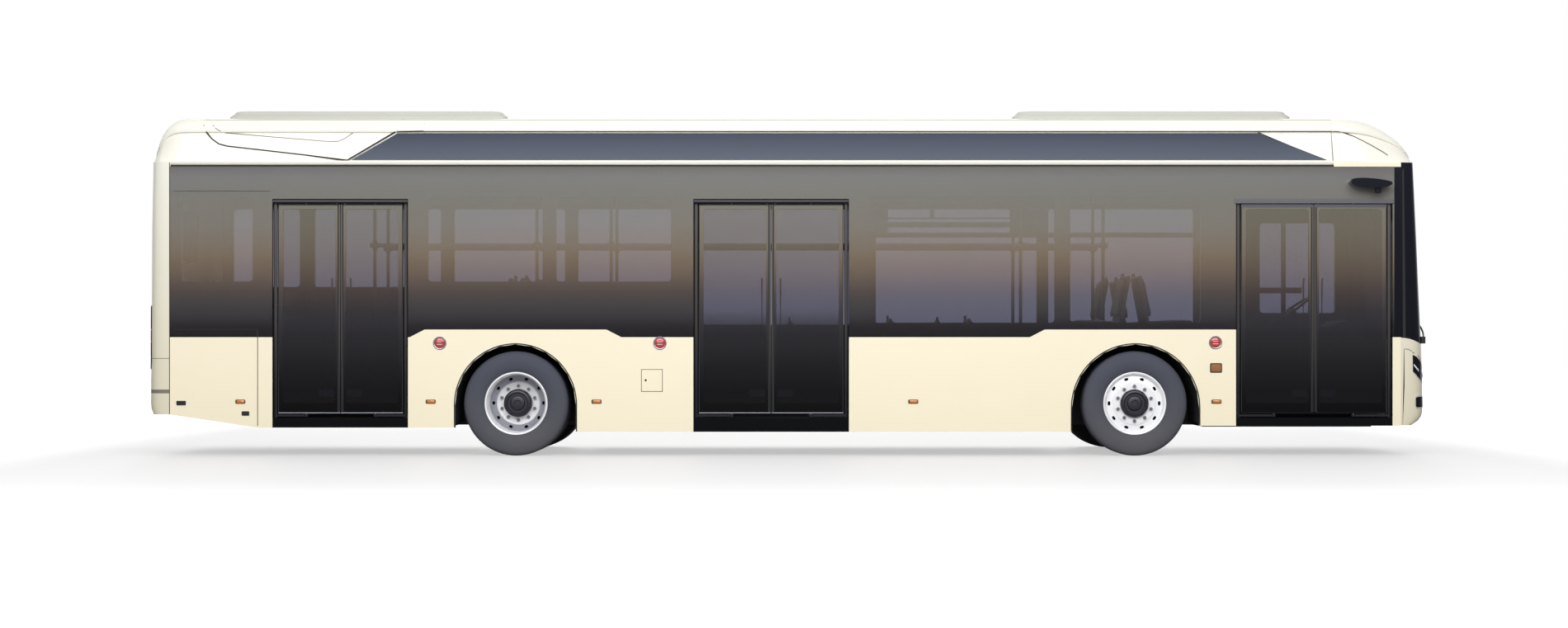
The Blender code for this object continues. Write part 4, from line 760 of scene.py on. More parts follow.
@dataclass
class Studio:
    """Camera, light and floor of the picture."""

    eye: Spot = (-0.031, -27.3, 1.05)
    plane: float = -1.275
    view_width: float = 14.82
    view_middle: float = 1.342
    sky: float = 0.35
    mirrored: tuple[Point, ...] = ((0.0, 0.20), (0.50, 0.14), (0.56, 0.30), (0.80, 0.80))
    floor_size: float = 90.0
    glow_near: float = 0.50
    glow_rise: float = 0.55
    through_glass: Colour = (0.60, 0.64, 1.0, 1.0)

    def camera(self) -> None:
        """Level camera square to the bus's right side, its frame shifted up a little."""
        data = bpy.data.cameras.new("studio_camera")
        data.sensor_width = 36
        data.lens = 36 * (self.plane - self.eye[1]) / self.view_width
        data.shift_y = (self.view_middle - self.eye[2]) / self.view_width
        data.clip_end = 500
        camera = bpy.data.objects.new("studio_camera", data)
        camera.location = self.eye
        camera.rotation_euler = (math.radians(90), 0, 0)
        bpy.context.scene.collection.objects.link(camera)
        bpy.context.scene.camera = camera

    def world(self) -> None:
        """White backdrop, even light, and a darker horizon for what gloss mirrors."""
        scene = bpy.context.scene
        scene.view_settings.view_transform = "Standard"
        world = bpy.data.worlds.new("studio_world")
        scene.world = world
        world.use_nodes = True
        tree = world.node_tree
        light = tree.nodes["Background"]
        light.inputs["Strength"].default_value = 1.0
        path = tree.nodes.new("ShaderNodeLightPath")
        stops = [(place, (value, value, value * 1.02, 1)) for place, value in self.mirrored]
        height = mapped(tree, axis_of(tree, "Z", "Generated"), -1, 1)
        behind = mapped(tree, axis_of(tree, "Y", "Generated"), 0.25, 0.7)
        colour = mixed(tree, behind, graded(tree, height, stops), WHITE)
        colour = mixed(tree, path.outputs["Is Diffuse Ray"], colour, (self.sky, self.sky, self.sky, 1))
        behind_glass = calc(tree, "GREATER_THAN", path.outputs["Transparent Depth"], 1.5)
        seen = mixed(tree, behind_glass, WHITE, self.through_glass)
        tree.links.new(mixed(tree, path.outputs["Is Camera Ray"], colour, seen), light.inputs["Color"])

    def lamp(self, name: str, place: Spot, aim: Spot, size: Point, watts: float) -> None:
        """Soft rectangular light.

        Args:
            name: name of the light.
            place: where it stands.
            aim: where it points.
            size: its width and height.
            watts: its power.
        """
        data = bpy.data.lights.new(name, "AREA")
        data.shape = "RECTANGLE"
        data.size, data.size_y = size
        data.energy = watts
        light = bpy.data.objects.new(name, data)
        light.location = place
        light.rotation_euler = (Vector(aim) - Vector(place)).to_track_quat("-Z", "Y").to_euler()
        bpy.context.scene.collection.objects.link(light)

    def floor(self) -> None:
        """Pale floor that mirrors darkly, so that glass low down stays dark."""
        half = self.floor_size
        material, tree, shader = blank("studio_floor")
        shader.inputs["Roughness"].default_value = 0.6
        shader.inputs["Specular IOR Level"].default_value = 0.2
        seen = fed(tree, "ShaderNodeLightPath", {}, "Is Camera Ray")
        base = mixed(tree, seen, (0.30, 0.30, 0.31, 1), (0.36, 0.358, 0.36, 1))
        glow = mixed(tree, seen, (0, 0, 0, 1), (1, 0.995, 0.995, 1))
        for label, socket in (("Base Color", base), ("Emission Color", glow),
                              ("Emission Strength", self.nearness(tree))):
            tree.links.new(socket, shader.inputs[label])
        Form().block((-half, -half, -0.02), (half, half, 0)).finish("studio_floor", material)

    def nearness(self, tree) -> bpy.types.NodeSocket:
        """Glow of the floor: low beside the bus, full far off, so that no horizon shows.

        Args:
            tree: the floor's tree.

        Returns:
            The strength socket.
        """
        reach = [mapped(tree, calc(tree, "ABSOLUTE", axis_of(tree, axis)), start, end,
                        interpolation_type="SMOOTHSTEP")
                 for axis, start, end in (("X", 6.4, 9.0), ("Y", 6.0, 15.0))]
        more = calc(tree, "MULTIPLY", calc(tree, "MAXIMUM", *reach), self.glow_rise)
        return calc(tree, "ADD", more, self.glow_near)

    def build(self) -> None:
        """Sets up the whole studio."""
        self.camera()
        self.world()
        for light in (("key_light", (0, -18, 10), (0, 0, 1.5), (22, 10), 3700),
                      ("top_light", (0, 2, 14), (0, 0, 2), (16, 8), 300),
                      ("left_fill", (0, 20, 9), (0, 0, 1.5), (20, 8), 1300)):
            self.lamp(*light)
        self.floor()


# Repeats by Geometry Nodes


@dataclass
class Repeater:
    """Puts copies of one small piece on a circle or a line, and bakes them into a plain mesh."""

    name: str
    count: int
    radius: float = 0.0
    pitch: float = 0.0

    def tree(self, piece: bpy.types.Object, material: bpy.types.Material) -> bpy.types.NodeTree:
        """Builds the node tree.

        Args:
            piece: the small piece, made at the origin.
            material: finish of the copies.

        Returns:
            A tree with the inputs Count, Radius and Pitch.
        """
        tree = bpy.data.node_groups.new(self.name, "GeometryNodeTree")
        for label, kind in (("Count", "NodeSocketInt"), ("Radius", "NodeSocketFloat"),
                            ("Pitch", "NodeSocketFloat")):
            tree.interface.new_socket(label, in_out="INPUT", socket_type=kind)
        tree.interface.new_socket("Geometry", in_out="OUTPUT", socket_type="NodeSocketGeometry")
        entry, end = tree.nodes.new("NodeGroupInput"), tree.nodes.new("NodeGroupOutput")
        count, radius, pitch = (entry.outputs[label] for label in ("Count", "Radius", "Pitch"))
        offset = fed(tree, "ShaderNodeCombineXYZ", {"X": pitch})
        line = fed(tree, "GeometryNodeMeshLine", {"Count": count, "Offset": offset})
        share = calc(tree, "DIVIDE", fed(tree, "GeometryNodeInputIndex", {}), count)
        angle = calc(tree, "MULTIPLY", share, math.tau)
        around = fed(tree, "ShaderNodeCombineXYZ", {
            axis: calc(tree, "MULTIPLY", calc(tree, operation, angle), radius)
            for axis, operation in (("X", "SINE"), ("Z", "COSINE"))})
        moved = fed(tree, "GeometryNodeSetPosition", {"Geometry": line, "Offset": around})
        on_circle = calc(tree, "GREATER_THAN", radius, 0.0)
        turn = fed(tree, "ShaderNodeCombineXYZ", {"Y": calc(tree, "MULTIPLY", angle, on_circle)})
        source = fed(tree, "GeometryNodeObjectInfo", {"Object": piece}, "Geometry")
        copies = fed(tree, "GeometryNodeInstanceOnPoints",
                     {"Points": moved, "Instance": source, "Rotation": turn})
        real = fed(tree, "GeometryNodeRealizeInstances", {0: copies})
        painted = fed(tree, "GeometryNodeSetMaterial", {"Geometry": real, "Material": material})
        tree.links.new(painted, end.inputs["Geometry"])
        return tree

    def bake(self, form: Form, finish: Finish, place: Matrix, smooth: float = 35) -> bpy.types.Object:
        """Makes the copies and leaves them as one plain mesh.

        Args:
            form: the small piece, at the origin.
            finish: finish of the copies.
            place: where the circle or line goes.
            smooth: edges sharper than this stay sharp, in degrees.

        Returns:
            The object, at the origin.
        """
        material = dressed(finish)
        piece = form.finish(f"{self.name}_one", material, smooth)
        holder = bpy.data.objects.new(f"{self.name}_holder", bpy.data.meshes.new(f"{self.name}_holder"))
        bpy.context.scene.collection.objects.link(holder)
        modifier = holder.modifiers.new("copies", "NODES")
        tree = self.tree(piece, material)
        modifier.node_group = tree
        sockets = {item.name: item.identifier for item in tree.interface.items_tree if item.in_out == "INPUT"}
        modifier[sockets["Count"]] = self.count
        modifier[sockets["Radius"]] = self.radius
        modifier[sockets["Pitch"]] = self.pitch
        depsgraph = bpy.context.evaluated_depsgraph_get()
        mesh = bpy.data.meshes.new_from_object(holder.evaluated_get(depsgraph), depsgraph=depsgraph)
        mesh.transform(place)
        if place.determinant() < 0:
            mesh.flip_normals()
        mesh.name = self.name
        made = bpy.data.objects.new(self.name, mesh)
        bpy.context.scene.collection.objects.link(made)
        for spare in (holder, piece):
            bpy.data.objects.remove(spare, do_unlink=True)
        return made


# Wheels


FRONT_WHEEL_Y = 1.10
DUAL_Y = 0.94


class Side(Enum):
    """The two sides of the bus."""

    RIGHT = -1
    LEFT = 1

    @property
    def word(self) -> str:
        """The side's name as the nodes spell it."""
        return self.name.lower()


@dataclass
class Tyre:
    """Road tyre with a rounded shoulder, a plain wall and four tread grooves."""

    node: str
    body: str
    side: Side
    steps: int = 72
    groove: float = 0.012

    def build(self) -> bpy.types.Object:
        """Builds the tyre over its node.

        Returns:
            The tyre.
        """
        low, high = (Vector(corner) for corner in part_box(self.node))
        middle = (low + high) / 2
        radius, half = (high.z - low.z) / 2, (high.y - low.y) / 2
        bead = 0.2995
        wall = [
            (half * 0.77, bead - 0.012), (half * 0.80, bead + 0.004), (half * 0.86, bead + 0.012),
            (half * 0.93, bead + 0.040), (half * 0.985, bead + 0.072), (half, bead + 0.100),
            (half * 0.985, bead + 0.130), (half * 0.95, bead + 0.155), (half * 0.90, bead + 0.174),
            (half * 0.84, radius - 0.012), (half * 0.76, radius - 0.003), (half * 0.68, radius),
        ]
        tread = []
        for place in (0.50, 0.17):
            edge = 0.030
            tread += [(half * (place + edge), radius), (half * place + 0.002, radius - self.groove),
                      (half * place - 0.002, radius - self.groove), (half * (place - edge), radius)]
        side = [*wall, *tread]
        profile = [*side, *[(-axial, reach) for axial, reach in reversed(side)]]
        form = Form().turned(profile, tuple(middle), self.side.value, self.steps)
        return add(form, f"{self.node}_skin", RUBBER, "tyre_rubber", self.node, body=self.body, angle=50)


@dataclass
class Rim:
    """Disc wheel with hand holes, nuts and hub."""

    node: str
    body: str
    side: Side
    driven: bool
    steps: int = 80
    flange: float = 0.298
    rim_half: float = 0.1195
    seat: float = 0.286
    inside: float = 0.270
    hub: float = 0.136
    bolt_circle: float = 0.165
    holes: int = 10
    sheet: float = 0.014

    def hole_band(self, form: Form, centre: Spot, inner: Point, outer: Point, hole: Point) -> None:
        """Closed ring of disc that carries the hand holes.

        Args:
            form: mesh that takes the faces.
            centre: middle of the wheel.
            inner: outward place and radius of the inner edge.
            outer: outward place and radius of the outer edge.
            hole: half length and half width of a hole.
        """
        step = math.tau / self.holes
        count = self.steps // self.holes
        middle = (inner[1] + outer[1]) / 2

        def spot(angle: float, radius: float, depth: float) -> Spot:
            """Point on the band or under it."""
            share = (radius - inner[1]) / (outer[1] - inner[1])
            level = inner[0] + (outer[0] - inner[0]) * share - depth
            return (centre[0] + radius * math.sin(angle), centre[1] + self.side.value * level,
                    centre[2] + radius * math.cos(angle))

        for i in range(self.holes):
            start = i * step
            edge = [(start + step * k / count, inner[1]) for k in range(count + 1)]
            edge += [(start + step * (count - k) / count, outer[1]) for k in range(count + 1)]
            mouth = []
            for angle, radius in edge:
                turn = math.atan2((radius - middle) / hole[1], (angle - start - step / 2) * middle / hole[0])
                mouth.append((start + step / 2 + hole[0] * math.cos(turn) / middle,
                              middle + hole[1] * math.sin(turn)))
            rows = []
            for loop, depth in ((edge, 0), (mouth, 0), (mouth, self.sheet), (edge, self.sheet)):
                rows.append(form.verts([spot(*point, depth) for point in loop]))
            for one, two in zip(rows, rows[1:]):
                form.strip(one, two)
            for part in (slice(0, count + 1), slice(count + 1, None)):
                form.strip(rows[0][part], rows[3][part], closed=False)

    def barrel(self, middles: Sequence[float]) -> list[Point]:
        """Closed profile of the rolled rim under its tyre or tyres.

        Args:
            middles: outward place of each tyre's middle.

        Returns:
            Points of (outward, radius).
        """
        half, flange = self.rim_half, self.flange
        outer = []
        for middle in middles:
            outer += [(middle - half, flange - 0.006), (middle - half + 0.003, flange),
                      (middle - half + 0.010, flange)]
            outer += [(middle - half + 0.013, self.seat), (middle + half - 0.013, self.seat)]
            outer += [(middle + half - 0.010, flange), (middle + half - 0.003, flange),
                      (middle + half, flange - 0.006)]
        ends = (middles[0] - half, middles[-1] + half)
        lip = [(ends[1] - 0.003, flange - 0.014), (ends[1] - 0.016, flange - 0.021),
               (ends[1] - 0.034, self.inside)]
        lip += [(ends[0] + 0.034, self.inside), (ends[0], flange - 0.018)]
        return outer + lip

    def build(self) -> None:
        """Builds rim, disc, hub and nuts over the node."""
        low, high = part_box(self.node)
        outward = self.side.value
        centre = ((low[0] + high[0]) / 2, 0, (low[2] + high[2]) / 2)
        edge = max(abs(low[1]), abs(high[1]))
        back = min(abs(low[1]), abs(high[1]))
        middles = (back + self.rim_half, edge - self.rim_half) if self.driven else (FRONT_WHEEL_Y,)
        disc = DUAL_Y + 0.026 if self.driven else FRONT_WHEEL_Y + 0.070
        hub_end = DUAL_Y + 0.140 if self.driven else FRONT_WHEEL_Y + 0.130
        rim = Form().turned(self.barrel(middles), centre, outward, self.steps)
        self.piece(rim, "barrel", STEEL, 30, self.node)
        face = Form()
        inner, outer = (disc, 0.206), (disc if self.driven else disc - 0.008, self.inside)
        hole = (0.020, 0.014) if self.driven else (0.026, 0.013)
        self.hole_band(face, centre, inner, outer, hole)
        self.piece(face, "disc", BARREL if self.driven else STEEL)
        plate = Form()
        rise = 0.010
        plate.turned(
            [(disc - self.sheet, 0.208), (disc, 0.208), (disc + rise, 0.197), (disc + rise, self.hub - 0.006),
             (disc - self.sheet, self.hub - 0.006)], centre, outward, self.steps)
        self.piece(plate, "plate", STEEL, 20)
        cap = Form()
        foot = disc - 0.05
        cap.turned(
            [(foot, 0.0), (foot, self.hub - 0.02), (disc, self.hub), (hub_end - 0.018, self.hub - 0.004),
             (hub_end - 0.004, self.hub - 0.016), (hub_end, self.hub - 0.030), (hub_end - 0.006, 0.098),
             (hub_end - 0.016, 0.094), (hub_end - 0.016, 0.072), (hub_end - 0.004, 0.066), (hub_end, 0.058),
             (hub_end, 0.030), (hub_end - 0.008, 0.026), (hub_end - 0.008, 0.0)],
            centre, outward, self.steps // 2, closed=False)
        self.piece(cap, "hub", HUB)
        nut = Form().plate(ring((0, 0), 0.0165, 6), 0.0, 0.024)
        nut.turned([(0.0235, 0.0085), (0.034, 0.0085), (0.036, 0.006), (0.036, 0)], (0, 0, 0), 1, 10,
                   closed=False)
        middle = (centre[0], outward * (disc + rise), centre[2])
        place = Matrix.Translation(middle) @ Matrix.Diagonal((1, outward, 1, 1))
        nuts = Repeater(f"{self.node}_nuts", self.holes, radius=self.bolt_circle).bake(nut, NUT, place)
        keep(nuts, self.body, "wheel_steel")

    def piece(self, form: Form, word: str, finish: Finish, angle: float = 30, *nodes: str) -> None:
        """Keeps one piece of the wheel.

        Args:
            form: its mesh.
            word: last word of its name.
            finish: its finish.
            angle: edges sharper than this stay sharp, in degrees.
            nodes: CAD nodes that it replaces.
        """
        add(form, f"{self.node}_{word}", finish, "wheel_steel", *nodes, body=self.body, angle=angle)


def build_wheels() -> None:
    """Dresses all tyres and rims."""
    for side in Side:
        word = side.word
        Tyre(f"front_tyre_{word}", f"front_wheel_{word}", side).build()
        Rim(f"front_rim_{word}", f"front_wheel_{word}", side, driven=False).build()
        for place in ("outer", "inner"):
            Tyre(f"rear_tyre_{place}_{word}", f"rear_wheel_{word}", side).build()
        Rim(f"rear_rim_{word}", f"rear_wheel_{word}", side, driven=True).build()


# Front and rear ends


@dataclass
class BowedEnd:
    """Shape of a bus end: a bow in plan between round corners, leaning with height."""

    end: int
    back: float
    bulge: float
    levels: tuple[Point, ...]
    half_width: float = 1.275
    square: float = 3.0

    def spot(self, turn: float, height: float, lift: float = 0.0) -> Vector:
        """Point on the end's surface.

        Args:
            turn: 0 at the middle, 1 where the corner begins, 2 where it meets the side; negative is the
                right side.
            height: height above the ground.
            lift: distance off the surface, outward.

        Returns:
            The point.
        """
        reach = eased(self.levels, height)[0]
        radius = reach - self.bulge - self.back
        corner = self.half_width - radius
        side = -1 if turn < 0 else 1
        if abs(turn) <= 1:
            across, ahead = abs(turn) * corner, reach - self.bulge * turn * turn
            slope = 2 * self.bulge * abs(turn) / corner
            length = math.hypot(1, slope)
            normal = (1 / length, slope / length)
        else:
            angle = min(1.0, abs(turn) - 1) * math.pi / 2
            one, two = max(0.0, math.cos(angle)) ** (2 / self.square), math.sin(angle) ** (2 / self.square)
            across, ahead = corner + radius * two, self.back + radius * one
            steep = (one ** (self.square - 1), two ** (self.square - 1))
            length = math.hypot(*steep)
            normal = (steep[0] / length, steep[1] / length)
        return Vector((self.end * (ahead + lift * normal[0]), side * (across + lift * normal[1]), height))

    def turn_at(self, across: float, height: float) -> float:
        """Turn of a point a given distance from the middle plane."""
        reach = eased(self.levels, height)[0]
        radius = reach - self.bulge - self.back
        corner = self.half_width - radius
        if abs(across) <= corner:
            return across / corner
        angle = math.asin(min(1.0, (abs(across) - corner) / radius) ** (self.square / 2))
        return math.copysign(1 + angle / (math.pi / 2), across)

    def turn_of(self, ahead: float, height: float) -> float:
        """Turn of the place on the round corner that lies a given distance along the bus."""
        radius = eased(self.levels, height)[0] - self.bulge - self.back
        share = min(1.0, max(0.0, (ahead - self.back) / radius))
        return 1 + math.acos(share ** (self.square / 2)) / (math.pi / 2)

    def grid(self, turns: Sequence[float], heights: Sequence[float], thick: float,
             keeps: Callable[[float, float], bool] = lambda turn, height: True, lift: float = 0.0) -> Form:
        """Wall of the end over a grid, with real thickness and open where cells are left out.

        Args:
            turns: grid lines round the end.
            heights: grid lines up the end.
            thick: wall thickness, inward.
            keeps: says whether the cell with a given middle is there.
            lift: distance of the outer face off the surface.

        Returns:
            The wall.
        """
        form = Form()
        outer = [form.verts([self.spot(t, z, lift) for t in turns]) for z in heights]
        inner = [form.verts([self.spot(t, z, lift - thick) for t in turns]) for z in heights]
        rows, columns = len(heights) - 1, len(turns) - 1

        def kept(row: int, column: int) -> bool:
            """Whether a cell is in the wall."""
            if not (0 <= row < rows and 0 <= column < columns):
                return False
            return keeps((turns[column] + turns[column + 1]) / 2, (heights[row] + heights[row + 1]) / 2)

        for row in range(rows):
            for column in range(columns):
                if not kept(row, column):
                    continue
                for layer in (outer, inner):
                    form.face((layer[row][column], layer[row][column + 1],
                               layer[row + 1][column + 1], layer[row + 1][column]))
                edges = (
                    ((row - 1, column), (row, column), (row, column + 1)),
                    ((row + 1, column), (row + 1, column), (row + 1, column + 1)),
                    ((row, column - 1), (row, column), (row + 1, column)),
                    ((row, column + 1), (row, column + 1), (row + 1, column + 1)),
                )
                for (beside_row, beside_column), a, b in edges:
                    if not kept(beside_row, beside_column):
                        form.face((outer[a[0]][a[1]], outer[b[0]][b[1]], inner[b[0]][b[1]],
                                   inner[a[0]][a[1]]))
        loose = [v for v in form.mesh.verts if not v.link_faces]
        bmesh.ops.delete(form.mesh, geom=loose, context="VERTS")
        return form

    def ribbon(self, form: Form, stations: Sequence[tuple[float, float, float]], lift: float,
               sink: float = 0.004) -> None:
        """Raised patch that follows the surface between a lower and an upper line.

        Args:
            form: mesh that takes the faces.
            stations: rows of (turn, low, high).
            lift: how far it stands proud.
            sink: how far its rim goes under the surface.
        """
        sections = []
        for turn, low, high in stations:
            sections.append([self.spot(turn, low, -sink), self.spot(turn, low, lift),
                             self.spot(turn, (low + high) / 2, lift),
                             self.spot(turn, high, lift), self.spot(turn, high, -sink)])
        form.loft(sections)


def spread(start: float, end: float, count: int) -> list[float]:
    """Evenly spread values, both ends included."""
    return [start + (end - start) * i / count for i in range(count + 1)]


def with_marks(values: Sequence[float], marks: Sequence[float]) -> list[float]:
    """Grid lines that include given marks, without crowding."""
    kept = [v for v in values if all(abs(v - m) > 0.006 for m in marks)]
    return sorted([*kept, *marks])


def corner_turns(count: int = 14, square: float = 3.0) -> list[float]:
    """Turns that step evenly round a squared corner, from the front face to the side."""
    turns = []
    for share in spread(0, 1, count):
        one, two = math.cos(share * math.pi / 2), math.sin(share * math.pi / 2)
        scale = (max(0.0, one) ** square + two ** square) ** (1 / square)
        turns.append(1 + math.asin(min(1.0, two / scale) ** (square / 2)) / (math.pi / 2))
    return turns


CORNER = corner_turns()
TURNS = [*[-t for t in reversed(CORNER)], *spread(-1, 1, 12)[1:-1], *CORNER]
FRONT = BowedEnd(1, 5.8003, 0.012, (
    (0.289, 5.925), (0.3237, 5.992), (0.386, 6.044), (0.54, 6.050), (0.99, 6.040), (1.12, 6.032),
    (1.60, 6.006), (2.11, 5.980), (2.775, 5.942),
))
REAR = BowedEnd(-1, 5.8423, 0.012, (
    (0.391, 6.026), (0.45, 6.054), (0.585, 6.0565), (0.80, 6.056), (0.86, 6.051), (1.11, 6.050),
    (2.11, 6.045), (2.775, 6.030),
))


@dataclass
class FrontEnd:
    """Front panel with its lamps, the windscreen, and the wipers."""

    shape: BowedEnd = field(default_factory=lambda: FRONT)
    foot: float = 0.289
    screen_foot: float = 1.12
    screen_top: float = 2.7747

    def panel(self) -> None:
        """Painted panel and its seams."""
        heights = spread(self.foot, self.screen_foot - 0.0003, 20)
        add(self.shape.grid(TURNS, heights, 0.05), "front_skin", SHELL, "cream_paint", "front_panel",
            angle=40)
        seams = Form()
        turn = self.shape.turn_of
        for side in (-1, 1):
            ends = [side * turn(x, 0.6) for x in (5.8295, 5.8335)]
            self.shape.ribbon(seams, [(t, self.foot + 0.006, 1.010) for t in ends], 0.0008)
            path = ((5.831, 1.011, 0.002), (5.857, 1.010, 0.0025), (5.881, 1.004, 0.003),
                    (5.923, 0.974, 0.004),
                    (5.972, 0.943, 0.005), (5.995, 0.915, 0.005), (6.010, 0.872, 0.005))
            stations = [(side * turn(x, z), z - half, z + half) for x, z, half in path]
            stations += [(side * t, z - 0.004, z + 0.004)
                         for t, z in ((1.22, 0.852), (1.10, 0.842), (1.0, 0.838), (0.75, 0.835))]
            self.shape.ribbon(seams, stations, 0.0008)
        self.shape.ribbon(seams, [(t, 0.831, 0.839) for t in spread(-0.75, 0.75, 10)], 0.0008)
        add(seams, "front_seams", SEAL, "black_trim", angle=35)
        intake, plate = Form(), Form()
        for height in (0.405, 0.437, 0.469, 0.501):
            self.shape.ribbon(intake, [(t, height - 0.011, height + 0.011) for t in spread(-0.52, 0.52, 12)],
                              0.003)
        add(intake, "front_intake", BLACK, "black_trim")
        self.shape.ribbon(plate, [(t, 0.575, 0.690) for t in spread(-0.245, 0.245, 6)], 0.004)
        add(plate, "front_plate", CHROME, "cream_paint")
        foot = Form()
        for side in (-1, 1):
            edge = ((5.802, 1.1175), (5.833, 1.116), (5.881, 1.108), (5.92, 1.096), (5.950, 1.083),
                    (5.980, 1.070), (6.000, 1.062))
            stations = [(side * turn(x, 1.1), z, 1.1195) for x, z in edge]
            stations += [(side * t, z, 1.1195)
                         for t, z in ((1.30, 1.058), (1.15, 1.055), (1.0, 1.054), (0.6, 1.053), (0.0, 1.053))]
            self.shape.ribbon(foot, stations, 0.0012)
        add(foot, "screen_foot_band", GLOSS_BLACK, "black_trim", angle=35)

    def lamps(self) -> None:
        """Headlamps with their bright bars, and the lower lamps in their rings."""
        glass, bars, trims = Form(), Form(), Form()
        turn = self.shape.turn_of
        for side in (-1, 1):
            low = [(turn(x, z), z)
                   for x, z in ((5.915, 0.797), (5.935, 0.779), (5.955, 0.757), (5.975, 0.735),
                                (5.992, 0.716), (6.006, 0.700))]
            low += [(1.25, 0.696), (1.12, 0.694), (1.0, 0.694), (0.90, 0.698), (0.80, 0.706), (0.72, 0.718)]
            high = (0.955, 0.948, 0.936, 0.920, 0.903, 0.880, 0.856, 0.836, 0.824, 0.812, 0.796, 0.770)
            stations = [(side * t, z, top) for (t, z), top in zip(low, high)]
            self.shape.ribbon(glass, stations, 0.003)
            self.shape.ribbon(trims, [(side * t, z - 0.011, z) for t, z in low], 0.005)
            bar = [(turn(x, z), z)
                   for x, z in ((5.923, 0.861), (5.940, 0.843), (5.957, 0.824), (5.972, 0.806))]
            self.shape.ribbon(bars, [(side * t, z - 0.010, z + 0.010) for t, z in bar], 0.005)
            for at, height in ((1.16, 0.765), (0.97, 0.760)):
                self.lens(bars, self.shape.spot(side * at, height, 0.001), 0.034)
            inner, outer = [], []
            for share in spread(0, 1, 10):
                swell = math.sqrt(max(0.0, 1 - (2 * share - 1) ** 4))
                x = 5.932 + 0.092 * min(1.0, share * 1.25)
                at = turn(x, 0.51) if share < 0.8 else 1.12 - (share - 0.8) * 0.9
                middle = 0.507 + 0.006 * share
                inner.append((side * at, middle - 0.010 - 0.040 * swell, middle + 0.010 + 0.040 * swell))
                outer.append((side * at, middle - 0.018 - 0.046 * swell, middle + 0.018 + 0.046 * swell))
            self.shape.ribbon(trims, outer, 0.004)
            self.shape.ribbon(glass, inner[1:-1], 0.006)
        add(glass, "headlamp_glass", GLOSS_BLACK, "smoked_glass")
        add(trims, "headlamp_trims", CHROME, "cream_paint")
        add(bars, "headlamp_lenses", CLEAR_LENS, "smoked_glass")

    def lens(self, form: Form, spot: Vector, radius: float) -> None:
        """Round lens on the front surface, crowned forward.

        Args:
            form: mesh that takes the faces.
            spot: its middle.
            radius: its radius.
        """
        rows = []
        for depth, share in ((-0.004, 1.0), (0.001, 1.0), (0.003, 0.8), (0.0045, 0.5), (0.005, 0.15)):
            rows.append([(spot.x + depth, spot.y + radius * share * u, spot.z + radius * share * v)
                         for u, v in ring((0, 0), 1.0, 20)])
        form.loft(rows)

    def screen(self) -> None:
        """Windscreen with the dark band round it."""
        heights = spread(self.screen_foot, self.screen_top, 18)
        add(self.shape.grid(TURNS, heights, 0.012), "screen_glass", SCREEN, "smoked_glass", "windscreen",
            angle=40)

        def dark(turn: float, height: float) -> bool:
            """Whether a place belongs to the printed border."""
            return abs(turn) > 1.30 or height < 1.22 or height > 2.47

        heights = with_marks(heights, (1.22, 2.47))
        turns = with_marks(TURNS, (-1.30, 1.30))
        border = self.shape.grid(turns, heights, 0.0008, dark, 0.0010)
        add(border, "screen_border", GLOSS_BLACK, "black_trim", angle=40)
        seal = Form()
        for side in (-1, 1):
            self.shape.ribbon(seal, [(side * 1.985, self.screen_foot, 2.70),
                                     (side * 1.94, self.screen_foot, 2.725)], 0.0015)
        add(seal, "pillar_seals", SEAL, "black_trim", angle=35)

    def wipers(self) -> None:
        """Two hooked arms from blocks at the corners, their blades along the foot of the windscreen."""
        arms, blades = Form(), Form()
        low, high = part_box("wipers")
        arms.block((low[0] + 0.008, -0.62, 1.068), (high[0], 0.62, 1.088))
        arms.block((low[0] + 0.008, -0.07, 1.088), (high[0], 0.07, 1.118))
        for side in (-1, 1):
            near, far = sorted((side * 0.60, side * 1.10))
            arms.block((6.030, near, 1.064), (6.056, far, 1.086))
            near, far = sorted((side * 1.06, side * 1.16))
            arms.block((6.020, near, 1.063), (6.059, far, 1.129))
            path = [(6.0505, side * 1.11, 1.125), (6.049, side * 1.10, 1.165), (6.041, side * 1.07, 1.205),
                    (6.031, side * 1.03, 1.235), (6.028, side * 0.96, 1.255), (6.032, side * 0.86, 1.258)]
            arms.tube([Vector(spot) for spot in path], 0.0085, 8)
            arms.tube([Vector(path[-1]), Vector((6.036, side * 0.60, 1.225)),
                       Vector((6.040, side * 0.42, 1.190))], 0.006, 8)
            start, end = Vector((6.036, side * 0.80, 1.150)), Vector((6.040, side * 0.04, 1.190))
            blades.tube([start, start.lerp(end, 0.5), end], 0.0065, 6)
        add(arms, "wiper_arms", BLACK, "black_metal", "wipers", angle=40)
        add(blades, "wiper_blades", SEAL, "black_trim", angle=40)

    def build(self) -> None:
        """Builds the whole front end."""
        self.panel()
        self.lamps()
        self.screen()
        self.wipers()


